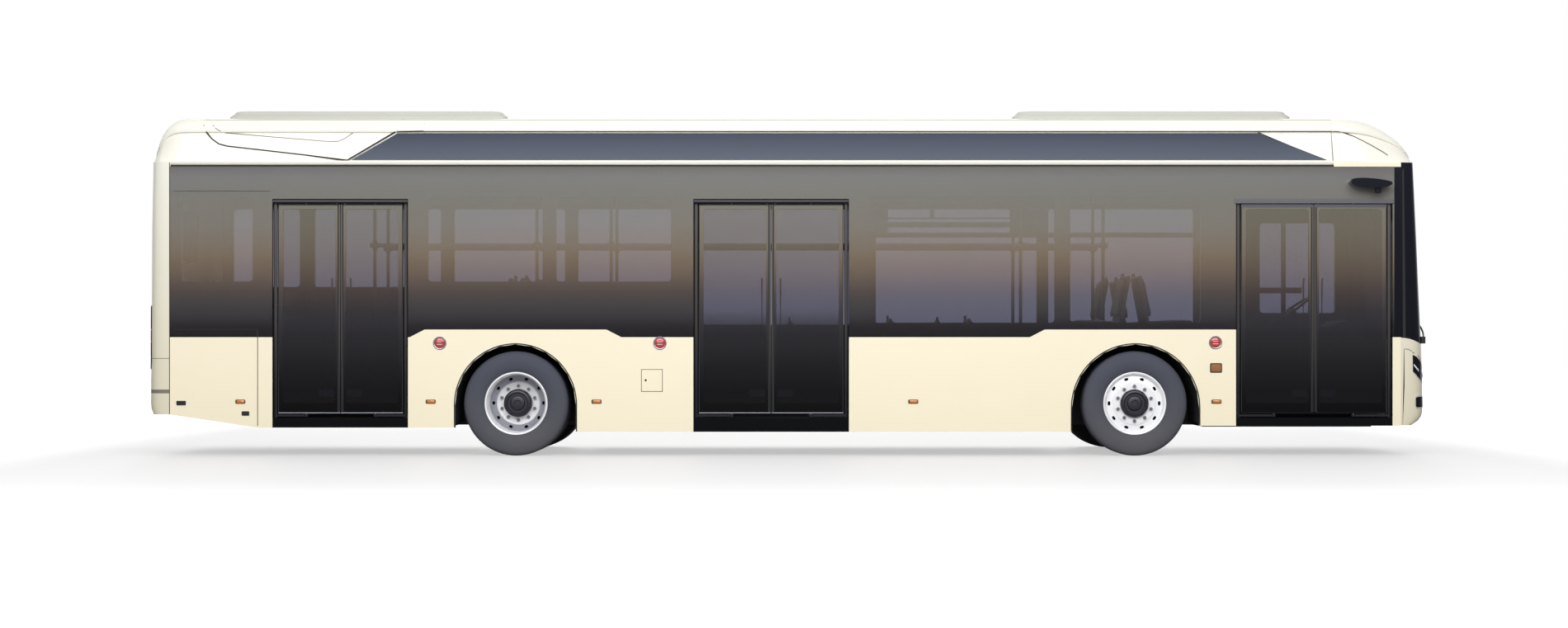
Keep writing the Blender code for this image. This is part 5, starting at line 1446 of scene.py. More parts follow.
@dataclass
class RearEnd:
    """Rear wall with lamps, service hatch and rear window."""

    shape: BowedEnd = field(default_factory=lambda: REAR)
    hatch_half: float = 0.85
    hatch: Point = (0.94, 1.70)
    window_half: float = 0.80
    window: Point = (1.88, 2.38)
    groove: Point = (0.592, 0.628)
    gap: float = 0.004
    lamp_across: Point = (0.98, 1.185)
    lamp_up: Point = (0.82, 1.425)

    def wall(self) -> None:
        """Painted wall, open at the hatch and at the window, with its bumper groove."""
        hatch_turn = self.shape.turn_at(self.hatch_half + self.gap, 1.3)
        window_turn = self.shape.turn_at(self.window_half, 2.1)
        hatch_low, hatch_high = self.hatch[0] - self.gap, self.hatch[1] + self.gap
        heights = with_marks(spread(0.391, 2.7747, 44), (hatch_low, hatch_high, *self.window))
        turns = with_marks(TURNS, (-hatch_turn, hatch_turn, -window_turn, window_turn))

        def solid(turn: float, height: float) -> bool:
            """Whether a place is wall."""
            if abs(turn) < hatch_turn and hatch_low < height < hatch_high:
                return False
            return not (abs(turn) < window_turn and self.window[0] < height < self.window[1])

        add(self.shape.grid(turns, heights, 0.05, solid), "rear_skin", SHELL, "cream_paint", "rear_wall",
            angle=40)
        plate = Form()
        self.shape.ribbon(plate, [(t, 0.690, 0.795) for t in spread(-0.245, 0.245, 6)], 0.0022)
        add(plate, "rear_plate", CHROME, "cream_paint")
        lines = Form()
        self.shape.ribbon(lines, [(turn, *self.groove) for turn in TURNS], 0.0006)
        self.shape.ribbon(lines, [(turn, 0.919, 0.925) for turn in TURNS if abs(turn) > 1.02], 0.0006)
        add(lines, "rear_grooves", FAINT_GROOVE, "black_trim", angle=35)

    def lid(self) -> None:
        """Service hatch with pressed ribs and a grip."""
        heights = spread(*self.hatch, 14)
        edge = self.shape.turn_at(self.hatch_half, 1.3)
        turns = with_marks([t for t in TURNS if abs(t) < edge - 0.01], (-edge, edge))
        panel = self.shape.grid(turns, heights, 0.045)
        add(panel, "hatch_skin", SHELL, "cream_paint", "engine_hatch", body="hatch", angle=40)
        ribs = Form()
        for height in spread(1.12, 1.58, 9):
            span = self.shape.turn_at(0.62, 1.3)
            rib = [(turn, height - 0.011, height + 0.011) for turn in spread(-span, span, 12)]
            self.shape.ribbon(ribs, rib, 0.004)
        add(ribs, "hatch_louvres", BLACK, "black_trim", body="hatch")
        grip = Form()
        self.shape.ribbon(grip, [(turn, 0.985, 1.015) for turn in (-0.09, -0.045, 0.0, 0.045, 0.09)], 0.005)
        add(grip, "hatch_grip", BLACK, "black_trim", body="hatch")

    def pane(self) -> None:
        """Rear window with its seal."""
        turn = self.shape.turn_at(self.window_half - 0.0005, 2.1)
        glass = self.shape.grid(spread(-turn, turn, 14),
                                spread(self.window[0] + 0.0005, self.window[1] - 0.0005, 6), 0.03)
        add(glass, "rear_glass", SCREEN, "smoked_glass", "rear_window", angle=40)
        low, high = self.window
        outline = rounded((-turn - 0.012, low - 0.014), (turn + 0.012, high + 0.014), 0.05, 5)
        inner = rounded((-turn + 0.016, low + 0.014), (turn - 0.016, high - 0.014), 0.035, 5)
        form = Form().rings(
            [self.shape.spot(t, z, lift) for t, z in loop]
            for loop, lift in ((outline, -0.004), (outline, 0.003), (inner, 0.003), (inner, -0.004)))
        add(form, "rear_window_seal", SEAL, "black_trim")

    def lamps(self) -> None:
        """Upright lamp clusters, three lenses in each."""
        cases, red, amber, clear = Form(), Form(), Form(), Form()
        near, far = self.lamp_across
        for side in (-1, 1):
            turns = [side * self.shape.turn_at(y, 1.1) for y in spread(near, far, 6)]
            self.shape.ribbon(cases, [(t, *self.lamp_up) for t in turns], 0.006)
            inner = [side * self.shape.turn_at(y, 1.1) for y in spread(near + 0.012, far - 0.012, 6)]
            parts = ((red, 1.20, 1.413), (amber, 1.085, 1.190), (red, 0.945, 1.075), (clear, 0.832, 0.935))
            for form, start, end in parts:
                self.shape.ribbon(form, [(t, start, end) for t in inner], 0.0093)
        add(cases, "tail_lamp_cases", GLOSS_BLACK, "black_trim")
        add(red, "tail_lamp_red", RED_LENS, "smoked_glass")
        add(amber, "tail_lamp_amber", AMBER_LENS, "smoked_glass")
        add(clear, "tail_lamp_clear", CLEAR_LENS, "smoked_glass")

    def build(self) -> None:
        """Builds the whole rear end."""
        self.wall()
        self.lid()
        self.pane()
        self.lamps()


# Roof


PICTURE_MIDDLE = 954
PICTURE_GROUND = 552.5
PICTURE_SCALE = 0.0078
ROOF_STRETCH = 1.002
FRONT_DOME = (
    (5.168, 1.0, 1.0), (5.358, 0.975, 1.0), (5.498, 0.910, 1.0), (5.638, 0.770, 1.0), (5.768, 0.580, 1.0),
    (5.858, 0.390, 0.992), (5.908, 0.230, 0.972), (5.934, 0.100, 0.930),
)


@dataclass
class Roof:
    """Roof shell with soft shoulders, its rounded ends, covers and grooves."""

    back: float = -5.53
    front: float = 5.168
    foot: float = 2.7753
    top: float = 3.205
    knee: Point = (1.247, 2.794)
    slope: Point = (-0.07, 0.266)
    skin: float = 0.018
    joint_line: float = 3.0735

    def half(self) -> list[Point]:
        """Half of the outer contour from the foot to the middle, as (across, height)."""
        lower = [(1.272, self.foot), (1.272, 2.7885), (1.2685, 2.7925), self.knee]
        (across, height), (inward, upward) = self.knee, self.slope
        side = [(across + inward * share, height + upward * share) for share in spread(0, 1, 4)[1:]]
        rail = [(1.1865, 3.0635), (1.1925, 3.070), (1.1935, 3.080), (1.1925, 3.112)]
        shoulder = [(1.185, 3.138), (1.172, 3.158), (1.150, 3.176), (1.120, 3.189), (1.090, 3.198),
                    (1.050, self.top)]
        crown = [(y, self.top) for y in (0.75, 0.38, 0.0)]
        return [*lower, *side, *rail, *shoulder, *crown]

    def contour(self) -> list[Point]:
        """Whole outer contour from the left foot over the top to the right foot."""
        half = self.half()
        return [*half, *[(-y, z) for y, z in reversed(half[:-1])]]

    def shell(self) -> None:
        """Outer shell between the two rounded ends."""
        form = Form()
        outer = self.contour()
        inner = [(y * (1 - self.skin), max(self.foot, z - self.skin)) for y, z in outer]
        outline = [*outer, *reversed(inner)]
        stations = spread(self.back, self.front - 0.0003, 24)
        form.loft([[(x, y, z) for y, z in outline] for x in stations])
        add(form, "roof_skin", SHELL, "cream_paint", "roof_panel", angle=25)
        ceiling = Form()
        under = [(1.2147, 2.7753), (1.2147, 2.52), (0.95, 2.52), (0.80, 2.70)]
        under = [*under, *[(-y, z) for y, z in reversed(under)]]
        thick = [(y * 0.99, min(z + 0.012, 2.775)) for y, z in under]
        outline = [*under, *reversed(thick)]
        ceiling.loft([[(x, y, z) for y, z in outline] for x in (self.back + 0.005, self.front - 0.005)])
        for x in (self.back + 0.005, self.front - 0.02):
            ceiling.loft([[(at, y, z) for y, z in under] for at in (x, x + 0.015)])
        add(ceiling, "ceiling_panels", INSIDE, "interior_grey", angle=25)

    def tuck(self, height: float, width: float, level: float) -> float:
        """Share of the full width that a rounded end keeps.

        Args:
            height: the end's height share there.
            width: its width share there.
            level: height on the full contour.

        Returns:
            The share.
        """
        lean = 0.10
        return width * (1 - (1 - height) * lean * (level - self.foot) / (self.top - self.foot))

    def dome(self, name: str, node: str, table: Sequence[Sequence[float]]) -> None:
        """Rounded end of the roof.

        Args:
            name: name of the piece.
            node: node that it replaces.
            table: rows of x, height share and width share, x rising in size.
        """
        end = 1 if table[-1][0] > 0 else -1
        table = [(abs(x), height, width) for x, height, width in table]
        form = Form()
        contour = self.contour()
        sections = []
        count, closer = 22, 1.6
        for i in range(count + 1):
            share = 1 - (1 - i / count) ** closer
            x = table[0][0] + (table[-1][0] - table[0][0]) * share
            height, width = eased(table, x)
            height = min(height, 1.0)
            rows = []
            for y, z in contour:
                rows.append((end * x, y * self.tuck(height, width, z), self.foot + (z - self.foot) * height))
            sections.append(rows)
        form.loft(sections)
        add(form, name, SHELL, "cream_paint", node)

    def covers(self) -> None:
        """Low moulded housings with a seam, a lip and soft edges."""
        for node, label in (("roof_cover_rear", "rear"), ("roof_cover_front", "front")):
            low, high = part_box(node)
            levels = (
                (low[2], 0.0), (low[2] + 0.010, 0.0), (low[2] + 0.014, 0.006), (low[2] + 0.030, 0.010),
                (high[2] - 0.026, 0.060), (high[2] - 0.010, 0.074), (high[2] - 0.003, 0.092),
                (high[2], 0.120),
            )
            form = Form()
            sections = []
            for height, inset in levels:
                ends = 0.75 * inset
                plan = rounded((low[0] + ends, low[1] + inset * 0.55),
                               (high[0] - ends, high[1] - inset * 0.55), 0.09, 6)
                sections.append([(x, y, height) for x, y in plan])
            form.loft(sections)
            add(form, f"{label}_cover_skin", COVER, "cover_paint", node)
            ribs = Form()
            span = high[0] - low[0] - 0.5
            for share in spread(0, 1, 5):
                x = low[0] + 0.25 + span * share
                ribs.block((x - 0.012, low[1] + 0.14, high[2] - 0.002), (x + 0.012, high[1] - 0.14, high[2]))
            add(ribs, f"{label}_cover_ribs", COVER, "cover_paint")

    def side_spot(self, x: float, height: float, side: int, lift: float) -> Spot:
        """Point on the slanted side of the roof.

        Args:
            x: place along the bus.
            height: height above the ground.
            side: -1 for the right side, 1 for the left.
            lift: distance off the surface.

        Returns:
            The point.
        """
        half = sorted((z, y) for y, z in self.half() if z < self.top)
        across = between(half, height)[0]
        return (x, side * (across + lift), height)

    def dome_spot(self, x: float, height: float, side: int, lift: float) -> Spot:
        """Point on a cheek of the front dome.

        Args:
            x: place along the bus.
            height: height above the ground.
            side: -1 for the right side, 1 for the left.
            lift: distance off the surface.

        Returns:
            The point.
        """
        share, width = eased(FRONT_DOME, x)
        share = min(share, 1.0)
        level = self.foot + (height - self.foot) / share
        half = sorted((z, y) for y, z in self.half() if z < self.top)
        reach = between(half, level)[0] * self.tuck(share, width, level)
        return (x, side * (reach + lift), height)

    def line(self, form: Form, path: Sequence[Point], width: float, lift: float = 0.0012, sink: float = 0.003,
             place: Callable[[float, float, int, float], Spot] | None = None) -> None:
        """Thin groove line on both slanted sides, or on both cheeks of the dome.

        Args:
            form: mesh that takes the faces.
            path: points of (x, height).
            width: width of the line.
            lift: how far it stands proud.
            sink: how far its foot goes under the surface.
            place: gives the points, on the slanted side unless said.
        """
        place = place or self.side_spot
        for side in (-1, 1):
            sections = []
            for i, (x, z) in enumerate(path):
                before, after = path[max(i - 1, 0)], path[min(i + 1, len(path) - 1)]
                along = Vector((after[0] - before[0], after[1] - before[1])).normalized()
                across = Vector((-along.y, along.x)) * width / 2
                one, two = (x + across.x, z + across.y), (x - across.x, z - across.y)
                sections.append([place(*one, side, -sink), place(*one, side, lift),
                                 place(*two, side, lift), place(*two, side, -sink)])
            form.loft(sections)

    def grooves(self) -> None:
        """Styling lines behind and ahead of the slate panels, the panel joints with a painted shadow under
        the rail, and painted shade lines along the shoulders.
        """
        def at(px: float, py: float) -> Point:
            """Point on the near side of the roof from its place in the picture."""
            along = (px - PICTURE_MIDDLE) * PICTURE_SCALE * ROOF_STRETCH
            return (along, (PICTURE_GROUND - py) * PICTURE_SCALE)

        dark, faint = Form(), Form()
        outer = [at(*spot) for spot in (
            (244.7, 144), (246.2, 151), (249, 158.8), (256, 167.5), (264.8, 173.7), (275, 176.4),
            (320, 181.6), (370, 187.4), (421.2, 193.8))]
        inner = [at(*spot) for spot in (
            (254.8, 146.7), (257, 151), (260.5, 154.5), (266, 158), (273.4, 160.2), (320, 164.2),
            (399.7, 170.9), (409.8, 170.3), (418, 166.5), (445.6, 145.9))]
        self.line(dark, outer, 0.013)
        self.line(dark, [outer[-1], at(478.6, 158.8), at(513, 158.2)], 0.014)
        self.line(faint, inner, 0.008)
        # The dark line along the foot of the rail and on over the front dome is partly the panel joint and
        # partly a painted shadow of the rail's overhang.
        rail = [(x, self.joint_line) for x in spread(-3.70, self.front, 20)]
        self.line(dark, rail, 0.009)
        bend = ((5.172, self.joint_line), (5.229, 3.071), (5.279, 3.064), (5.371, 3.029), (5.463, 2.983),
                (5.555, 2.932), (5.647, 2.877), (5.689, 2.845))
        self.line(dark, bend, 0.008, 0.0015, 0.004, self.dome_spot)
        # A thin dark line along each shoulder of the roof is painted shade on the edge that turns up.
        for side in (-1, 1):
            rim = [self.side_spot(x, 3.189, side, 0.0) for x in spread(self.back, self.front, 20)]
            faint.tube([(x, y, z) for x, y, z in rim], 0.0035, 6)
        self.line(dark, [(4.462, 3.0655), (4.78, 2.93), (5.10, 2.80)], 0.008)
        for form, x, low in ((dark, -3.44, 2.80), (dark, 0.876, 2.80), (faint, 5.160, 2.79)):
            self.line(form, [(x, low), (x, 3.05), (x, 3.15), (x, 3.19)], 0.006)
        add(dark, "roof_grooves", GROOVE, "black_trim")
        add(faint, "roof_fine_lines", FAINT_GROOVE, "black_trim")

    def build(self) -> None:
        """Builds the whole roof."""
        self.shell()
        self.dome("front_dome_skin", "front_dome", FRONT_DOME)
        self.dome("rear_dome_skin", "rear_dome", (
            (-5.5303, 1.0, 1.0), (-5.710, 0.995, 1.0), (-5.820, 0.940, 1.0), (-5.900, 0.785, 0.998),
            (-5.955, 0.580, 0.990), (-5.993, 0.380, 0.957), (-6.014, 0.220, 0.935), (-6.024, 0.090, 0.885),
        ))
        self.covers()
        self.grooves()


# Doors


@dataclass
class DoorLeaf:
    """One leaf: a black frame, smoked pane, seals with painted shadow lines, and a recessed grip."""

    door: str
    word: str
    outer: float = -1.253
    inner: float = -1.217
    pin_line: float = -1.235
    bottom: float = 0.4025
    top: float = 2.381
    frame: float = 0.045
    foot: float = 0.10
    soft: float = 0.003
    pane: Point = (0.0008, 0.0068)

    def build(self) -> None:
        """Builds the leaf over its node."""
        node = f"door_{self.door}_leaf_{self.word}"
        body = f"{self.door}_leaf_{self.word}"
        low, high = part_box(node)
        left, right = low[0], high[0]
        outer, inner, bottom, top = self.outer, self.inner, self.bottom, self.top
        outside = rounded((left, bottom), (right, top), 0.012, 3)
        hole = rounded((left + self.frame, bottom + self.foot), (right - self.frame, top - self.frame), 0.03,
                       3)
        soft = self.soft
        edge_in = rounded((left + soft, bottom + soft), (right - soft, top - soft), 0.010, 3)
        loops = ((hole, outer + self.pane[0]), (hole, outer), (edge_in, outer), (outside, outer + soft),
                 (outside, inner - soft), (edge_in, inner), (hole, inner), (hole, outer + self.pane[1]))
        form = Form().rings([(x, depth, z) for x, z in loop] for loop, depth in loops)
        add(form, f"{self.door}_{self.word}_frame", DOOR_FRAME, "black_trim", node, body=body)
        pane = Form().plate(hole, *(outer + depth for depth in self.pane))
        add(pane, f"{self.door}_{self.word}_pane", DOOR_GLASS, "smoked_glass", body=body)
        self.fittings(node, body, left, right, outer)

    def fittings(self, node: str, body: str, left: float, right: float, outer: float) -> None:
        """Grip, pivot pins, roller, inner handrail, the seal along the meeting edge, and black painted shadow
        lines beside it, along the hinge edge and across the top.

        Args:
            node: the leaf's node.
            body: the leaf's body.
            left: rear edge of the leaf.
            right: front edge of the leaf.
            outer: its outer face.
        """
        meeting = right if self.word == "aft" else left
        inward = -1 if self.word == "aft" else 1
        low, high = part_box(node)
        form = Form()
        for x, radius, start, end in (
            (self.pivot(left, right), 0.008, low[2], 0.42),
            (self.pivot(left, right), 0.008, 2.36, high[2]),
            (meeting + inward * 0.035, 0.010, 2.36, 2.403),
        ):
            form.loft([[(x + u, self.pin_line + v, z) for u, v in ring((0, 0), radius, 16)] for z in (start,
                                                                                                      end)])
        add(form, f"{self.door}_{self.word}_pins", NUT, "rail_metal", body=body)
        # The grey strip is the rubber seal; the black strips beside it, along the hinge edge and across the
        # top are painted shadow lines in the gaps.
        for label, finish, near, far, lift in (("strip", STRIP, 0.0, 0.0135, 0.003),
                                               ("seal", SEAL, 0.0135, 0.024, 0.0016)):
            start, end = sorted((meeting + inward * near, meeting + inward * far))
            edge = Form().block((start, outer - lift, 0.416), (end, outer + 0.010, 2.376))
            if label == "seal":
                hinge = left if self.word == "aft" else right
                start, end = sorted((hinge, hinge + (0.007 if self.word == "aft" else -0.007)))
                edge.block((start, outer - lift, 0.416), (end, outer + 0.010, 2.376))
                edge.block((left + 0.007, outer - lift, 2.370), (right - 0.007, outer + 0.010, 2.378))
            add(edge, f"{self.door}_{self.word}_{label}", finish, "black_trim", body=body)
        if self.door == "front":
            head = Form().block((left + 0.0005, outer - 0.004, 2.352),
                                (right - 0.0005, outer + 0.010, 2.3835))
            add(head, f"{self.door}_{self.word}_head", HEADER, "black_trim", body=body)
        foot = Form().block((left + 0.001, outer - 0.003, 0.4035), (right - 0.001, outer + 0.010, 0.4110))
        metal = GLOSS_BLACK if self.door == "front" else FOOT
        add(foot, f"{self.door}_{self.word}_foot", metal, "rail_metal", body=body)
        near, far = sorted((meeting + inward * 0.055, meeting + inward * 0.205))
        frame_out = rounded((near, 0.560), (far, 0.632), 0.012, 3)
        frame_in = rounded((near + 0.010, 0.570), (far - 0.010, 0.622), 0.008, 3)
        loops = ((frame_out, 0.0045), (frame_out, 0.0005), (frame_in, 0.0005), (frame_in, 0.0045))
        grip = Form().rings([(x, outer + depth, z) for x, z in loop] for loop, depth in loops)
        grip.plate(frame_in, outer + 0.0006, outer + 0.0045)
        add(grip, f"{self.door}_{self.word}_grip", GLOSS_BLACK, "black_trim", body=body)
        rail = Form()
        x = meeting + inward * 0.085
        path = [(x, -1.212, 1.02), (x, -1.190, 1.05), (x, -1.186, 1.10), (x, -1.186, 1.60),
                (x, -1.190, 1.65), (x, -1.212, 1.68)]
        rail.tube([(a, -1.2165, c) if b == -1.212 else (a, b - 0.008, c) for a, b, c in path], 0.009, 8)
        add(rail, f"{self.door}_{self.word}_handrail", POLE, "rail_metal", body=body, angle=60)

    def pivot(self, left: float, right: float) -> float:
        """Place of the leaf's pivot, midway between its post and its roller."""
        inward = -1 if self.word == "aft" else 1
        meeting = right if self.word == "aft" else left
        post = (left - 0.026) if self.word == "aft" else (right + 0.026)
        return (post + meeting + inward * 0.035) / 2


def build_doors() -> None:
    """Dresses the six leaves."""
    for door in ("rear", "middle", "front"):
        for word in ("aft", "fore"):
            DoorLeaf(door, word).build()


# Small trim on both sides


@dataclass
class SideTrim:
    """Lamps, reflectors, seams, arch lips and lips of the side walls and glass bands."""

    face: float = 1.275
    lip_span: Point = (-5.83, 5.165)
    lip_heights: Point = (2.7605, 2.7735)
    knobs: tuple[Point, ...] = ((-3.285, 1.067), (-1.204, 1.067), (4.047, 1.0725))
    arches: tuple[tuple[float, ...], ...] = ((-2.569, 0.571, 0.2675, 0.228), (3.292, 0.601, 0.228, 0.285))
    arch_top: float = 1.0546

    def out(self, side: Side, lift: float) -> float:
        """Place across the bus, a lift off the side's face."""
        return side.value * (self.face + lift)

    def seam(self, form: Form, path: Sequence[Point], width: float, side: Side, lift: float = 0.0008) -> None:
        """Thin line on the flat side.

        Args:
            form: mesh that takes the faces.
            path: points of (x, height).
            width: width of the line.
            side: which side.
            lift: how far it stands off the face.
        """
        for one, two in zip(path, path[1:]):
            along = Vector((two[0] - one[0], two[1] - one[1])).normalized() * width / 2
            across = Vector((-along.y, along.x))
            a, b = Vector(one) - along * 0.98, Vector(two) + along * 0.98
            outline = [a - across, b - across, b + across, a + across]
            form.plate([tuple(v) for v in outline], self.out(side, -0.002), self.out(side, lift))

    def markers(self) -> None:
        """Round red reflectors, side marker lamps and the small amber plate."""
        for number, (x, z) in enumerate(self.knobs):
            centre = (x, 0.0, z)
            bezel = Form().turned(
                [(self.face - 0.004, 0.050), (self.face + 0.008, 0.050), (self.face + 0.010, 0.056),
                 (self.face + 0.006, 0.0625), (self.face - 0.004, 0.0625)], centre, -1, 40)
            add(bezel, f"knob_bezel_{number}", NUT, "black_trim", angle=35)
            dome = [(self.face + 0.004, 0.051)] + [
                (self.face + 0.006 + 0.009 * math.cos(t), 0.050 * math.sin(t))
                for t in (math.radians(a) for a in (90, 72, 54, 36, 18))
            ] + [(self.face + 0.0152, 0.0)]
            lens = Form().turned([(self.face - 0.002, 0.0), (self.face - 0.002, 0.051), *dome], centre, -1,
                                 40)
            add(lens, f"knob_lens_{number}", RED_LENS, "black_trim", angle=35)
            mark = Form()
            for height in (-0.012, 0.012):
                outline = rounded((x - 0.026, z + height - 0.004), (x + 0.026, z + height + 0.004), 0.004, 3)
                mark.plate(outline, -self.face - 0.012, -self.face - 0.0160)
            add(mark, f"knob_mark_{number}", CHROME, "black_trim", angle=35)
        for side in Side:
            rows = [-5.169, -3.37, -1.803, 1.190, 4.056] if side is Side.RIGHT else [-5.0, -3.37, -1.803,
                                                                                     0.0, 1.7, 4.30]
            base, lens = Form(), Form()
            for x in rows:
                outline = rounded((x - 0.047, 0.494), (x + 0.047, 0.533), 0.010, 3)
                base.plate(outline, self.out(side, -0.003), self.out(side, 0.004))
                levels = ((0.0035, 0.0), (0.008, 0.001), (0.0105, 0.004))
                sections = []
                for lift, inset in levels:
                    shape = rounded((x - 0.036 + inset, 0.4985 + inset), (x + 0.040 - inset, 0.5285 - inset),
                                    0.008, 3)
                    sections.append([(u, self.out(side, lift), v) for u, v in shape])
                lens.loft(sections)
            add(base, f"marker_bases_{side.word}", BLACK, "black_trim", angle=35)
            add(lens, f"marker_lenses_{side.word}", AMBER_LENS, "black_trim", angle=35)
        frame, plate = Form(), Form()
        frame.plate(rounded((3.995, 0.787), (4.109, 0.8775), 0.012, 4), self.out(Side.RIGHT, -0.003),
                    self.out(Side.RIGHT, 0.004))
        plate.plate(rounded((4.005, 0.797), (4.099, 0.8675), 0.008, 4), self.out(Side.RIGHT, 0.003),
                    self.out(Side.RIGHT, 0.0065))
        add(frame, "amber_plate_rim", BLACK, "black_trim", angle=35)
        add(plate, "amber_plate", BRONZE, "black_trim", angle=35)
        vents = Form()
        for x, z, half in ((-5.729, 0.50, 0.045), (-5.121, 0.402, 0.036)):
            vents.plate(rounded((x - half, z - 0.021), (x + half, z + 0.021), 0.008, 3),
                        self.out(Side.RIGHT, -0.003), self.out(Side.RIGHT, 0.004))
            for drop in (-0.009, 0.0, 0.009):
                vents.plate(rounded((x - half + 0.008, z + drop - 0.0025),
                                    (x + half - 0.008, z + drop + 0.0025), 0.002, 2),
                            self.out(Side.RIGHT, 0.003), self.out(Side.RIGHT, 0.006))
        add(vents, "tail_vents", BLACK, "black_trim", angle=35)

    def seams(self) -> None:
        """Panel joints, the lip above the glass, and a dark strip under it that is a painted shadow."""
        dark, faint, lip = Form(), Form(), Form()
        right = Side.RIGHT
        self.seam(dark, [(-5.006, 0.288), (-5.006, 1.196)], 0.007, right)
        self.seam(dark, [(-5.80, 1.196), (-5.006, 1.196)], 0.004, right)
        self.seam(dark, [(-5.80, 2.504), (-4.885, 2.504)], 0.004, right)
        for side in Side:
            self.seam(dark, [(-5.8385, 0.395), (-5.8385, 2.772)], 0.007, side)
            # The 20 mm dark strip just under the lip above the glass is a painted shadow of the lip.
            self.seam(dark, [(-5.82, 2.7455), (5.155, 2.7455)], 0.020, side, 0.0012)
            for x, low, high in self.joints(side):
                self.seam(faint, [(x, low), (x, high)], 0.003, side)
            start, end = self.lip_span
            low, high = self.lip_heights
            lip.plate([(start, low), (end, low), (end, high), (start, high)], self.out(side, -0.004),
                      self.out(side, 0.0016))
        add(dark, "side_seams", GROOVE, "black_trim", angle=35)
        add(faint, "side_fine_seams", FAINT_GROOVE, "black_trim", angle=35)
        add(lip, "glass_head_lips", CHROME, "cream_paint", angle=35)

    def joints(self, side: Side) -> list[tuple[float, float, float]]:
        """Joints between skirt panels as (x, low, high)."""
        if side is Side.RIGHT:
            return []
        return [(-4.6, 0.30, 1.10), (-1.7, 0.24, 1.10), (-0.4, 0.24, 1.10), (0.9, 0.24, 1.10),
                (2.35, 0.24, 1.10), (4.35, 0.30, 1.10)]

    def arch_lips(self) -> None:
        """Soft black rubber lip round each wheel arch."""
        form = Form()
        for x, radius, behind, ahead in self.arches:
            centre = (x, self.arch_top - radius)
            for side in Side:
                inner = arc(centre, radius + 0.0005, 180, 0, 60)
                outer = arc(centre, radius + 0.011, 180, 0, 60)
                foot_in = (inner[0][0], behind + 0.004), (inner[-1][0], ahead + 0.004)
                foot_out = (outer[0][0], behind + 0.004), (outer[-1][0], ahead + 0.004)
                inner = [foot_in[0], *inner, foot_in[1]]
                outer = [foot_out[0], *outer, foot_out[1]]
                sections = []
                for one, two in zip(inner, outer):
                    sections.append([(one[0], self.out(side, -0.004), one[1]),
                                     (one[0], self.out(side, 0.003), one[1]),
                                     (two[0], self.out(side, 0.0025), two[1]),
                                     (two[0], self.out(side, -0.004), two[1])])
                form.loft(sections)
        add(form, "arch_lips", SEAL, "black_trim", angle=40)

    def flap(self) -> None:
        """Skin of the square flap with its key lock, and the dark gap round it."""
        low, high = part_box("charge_flap")
        skin = Form()
        outline = rounded((low[0], low[2]), (high[0], high[2]), 0.006, 3)
        inner = rounded((low[0] + 0.002, low[2] + 0.002), (high[0] - 0.002, high[2] - 0.002), 0.005, 3)
        skin.loft([[(x, high[1], z) for x, z in outline], [(x, low[1] + 0.0015, z) for x, z in outline],
                   [(x, low[1], z) for x, z in inner]])
        add(skin, "flap_skin", CREAM, "cream_paint", "charge_flap", body="flap", angle=25)
        lock = Form()
        profile = [(self.face - 0.008, 0.0), (self.face - 0.008, 0.0105), (self.face + 0.0012, 0.0105),
                   (self.face + 0.0022, 0.009), (self.face + 0.0022, 0.0055), (self.face + 0.0008, 0.005),
                   (self.face + 0.0008, 0.0)]
        lock.turned(profile, (-1.338, 0.0, 0.716), -1, 20, closed=False)
        add(lock, "flap_lock", HUB, "black_trim", body="flap", angle=35)

    def build(self) -> None:
        """Builds all of the side trim."""
        self.markers()
        self.seams()
        self.arch_lips()
        self.flap()


# Seats, grab rails and cab


@dataclass
class Pad:
    """Stitched cushion: crowned on top, flat underneath, its sides pulled in between the corners."""

    name: str
    centre: Spot
    size: Point
    thick: float
    forward: Spot
    up: Spot
    radius: float = 0.05
    pull: float = 0.035
    steps: int = 5

    def outline(self, share: float) -> list[Point]:
        """Loop round the pad at a share of its full width and length."""
        loop = []
        half_u, half_v = self.size[0] / 2, self.size[1] / 2
        plain = rounded((-half_u, -half_v), (half_u, half_v), self.radius, 3)
        for (u, v), (next_u, next_v) in zip(plain, plain[1:] + plain[:1]):
            long_side = math.hypot(next_u - u, next_v - v) > 2 * self.radius
            for step in range(self.steps if long_side else 1):
                at = step / self.steps if long_side else 0.0
                a, b = u + (next_u - u) * at, v + (next_v - v) * at
                tuck = self.pull * 4 * at * (1 - at) * 0.5
                a -= math.copysign(tuck, a) if abs(next_v - v) > abs(next_u - u) and long_side else 0.0
                b -= math.copysign(tuck, b) if abs(next_u - u) > abs(next_v - v) and long_side else 0.0
                loop.append((a * share, b * share))
        return loop

    def build(self) -> bpy.types.Object:
        """Builds the pad.

        Returns:
            The pad.
        """
        ahead = Vector(self.forward).normalized()
        high = Vector(self.up).normalized()
        side = high.cross(ahead)
        form = Form()
        levels = (
            (0.0, 0.0), (0.55, 0.0), (0.93, 0.0), (0.975, 0.08), (1.0, 0.30), (1.004, 0.40), (0.985, 0.44),
            (0.985, 0.50), (0.975, 0.62), (0.935, 0.75), (0.885, 0.81), (0.865, 0.765), (0.845, 0.815),
            (0.76, 0.90), (0.60, 0.96), (0.40, 0.99), (0.20, 1.0), (0.0, 1.0),
        )
        rows = []
        for share, level in levels:
            if share == 0:
                tip = Vector(self.centre) + high * level * self.thick
                rows.append(form.verts([tip]) * len(self.outline(1)))
            else:
                rows.append(form.verts([
                    Vector(self.centre) + ahead * u + side * v + high * level * self.thick
                    for u, v in self.outline(share)]))
        for one, two in zip(rows, rows[1:]):
            form.strip(one, two)
        piece = add(form, self.name, CLOTH, "seat_cover", angle=70)
        return piece


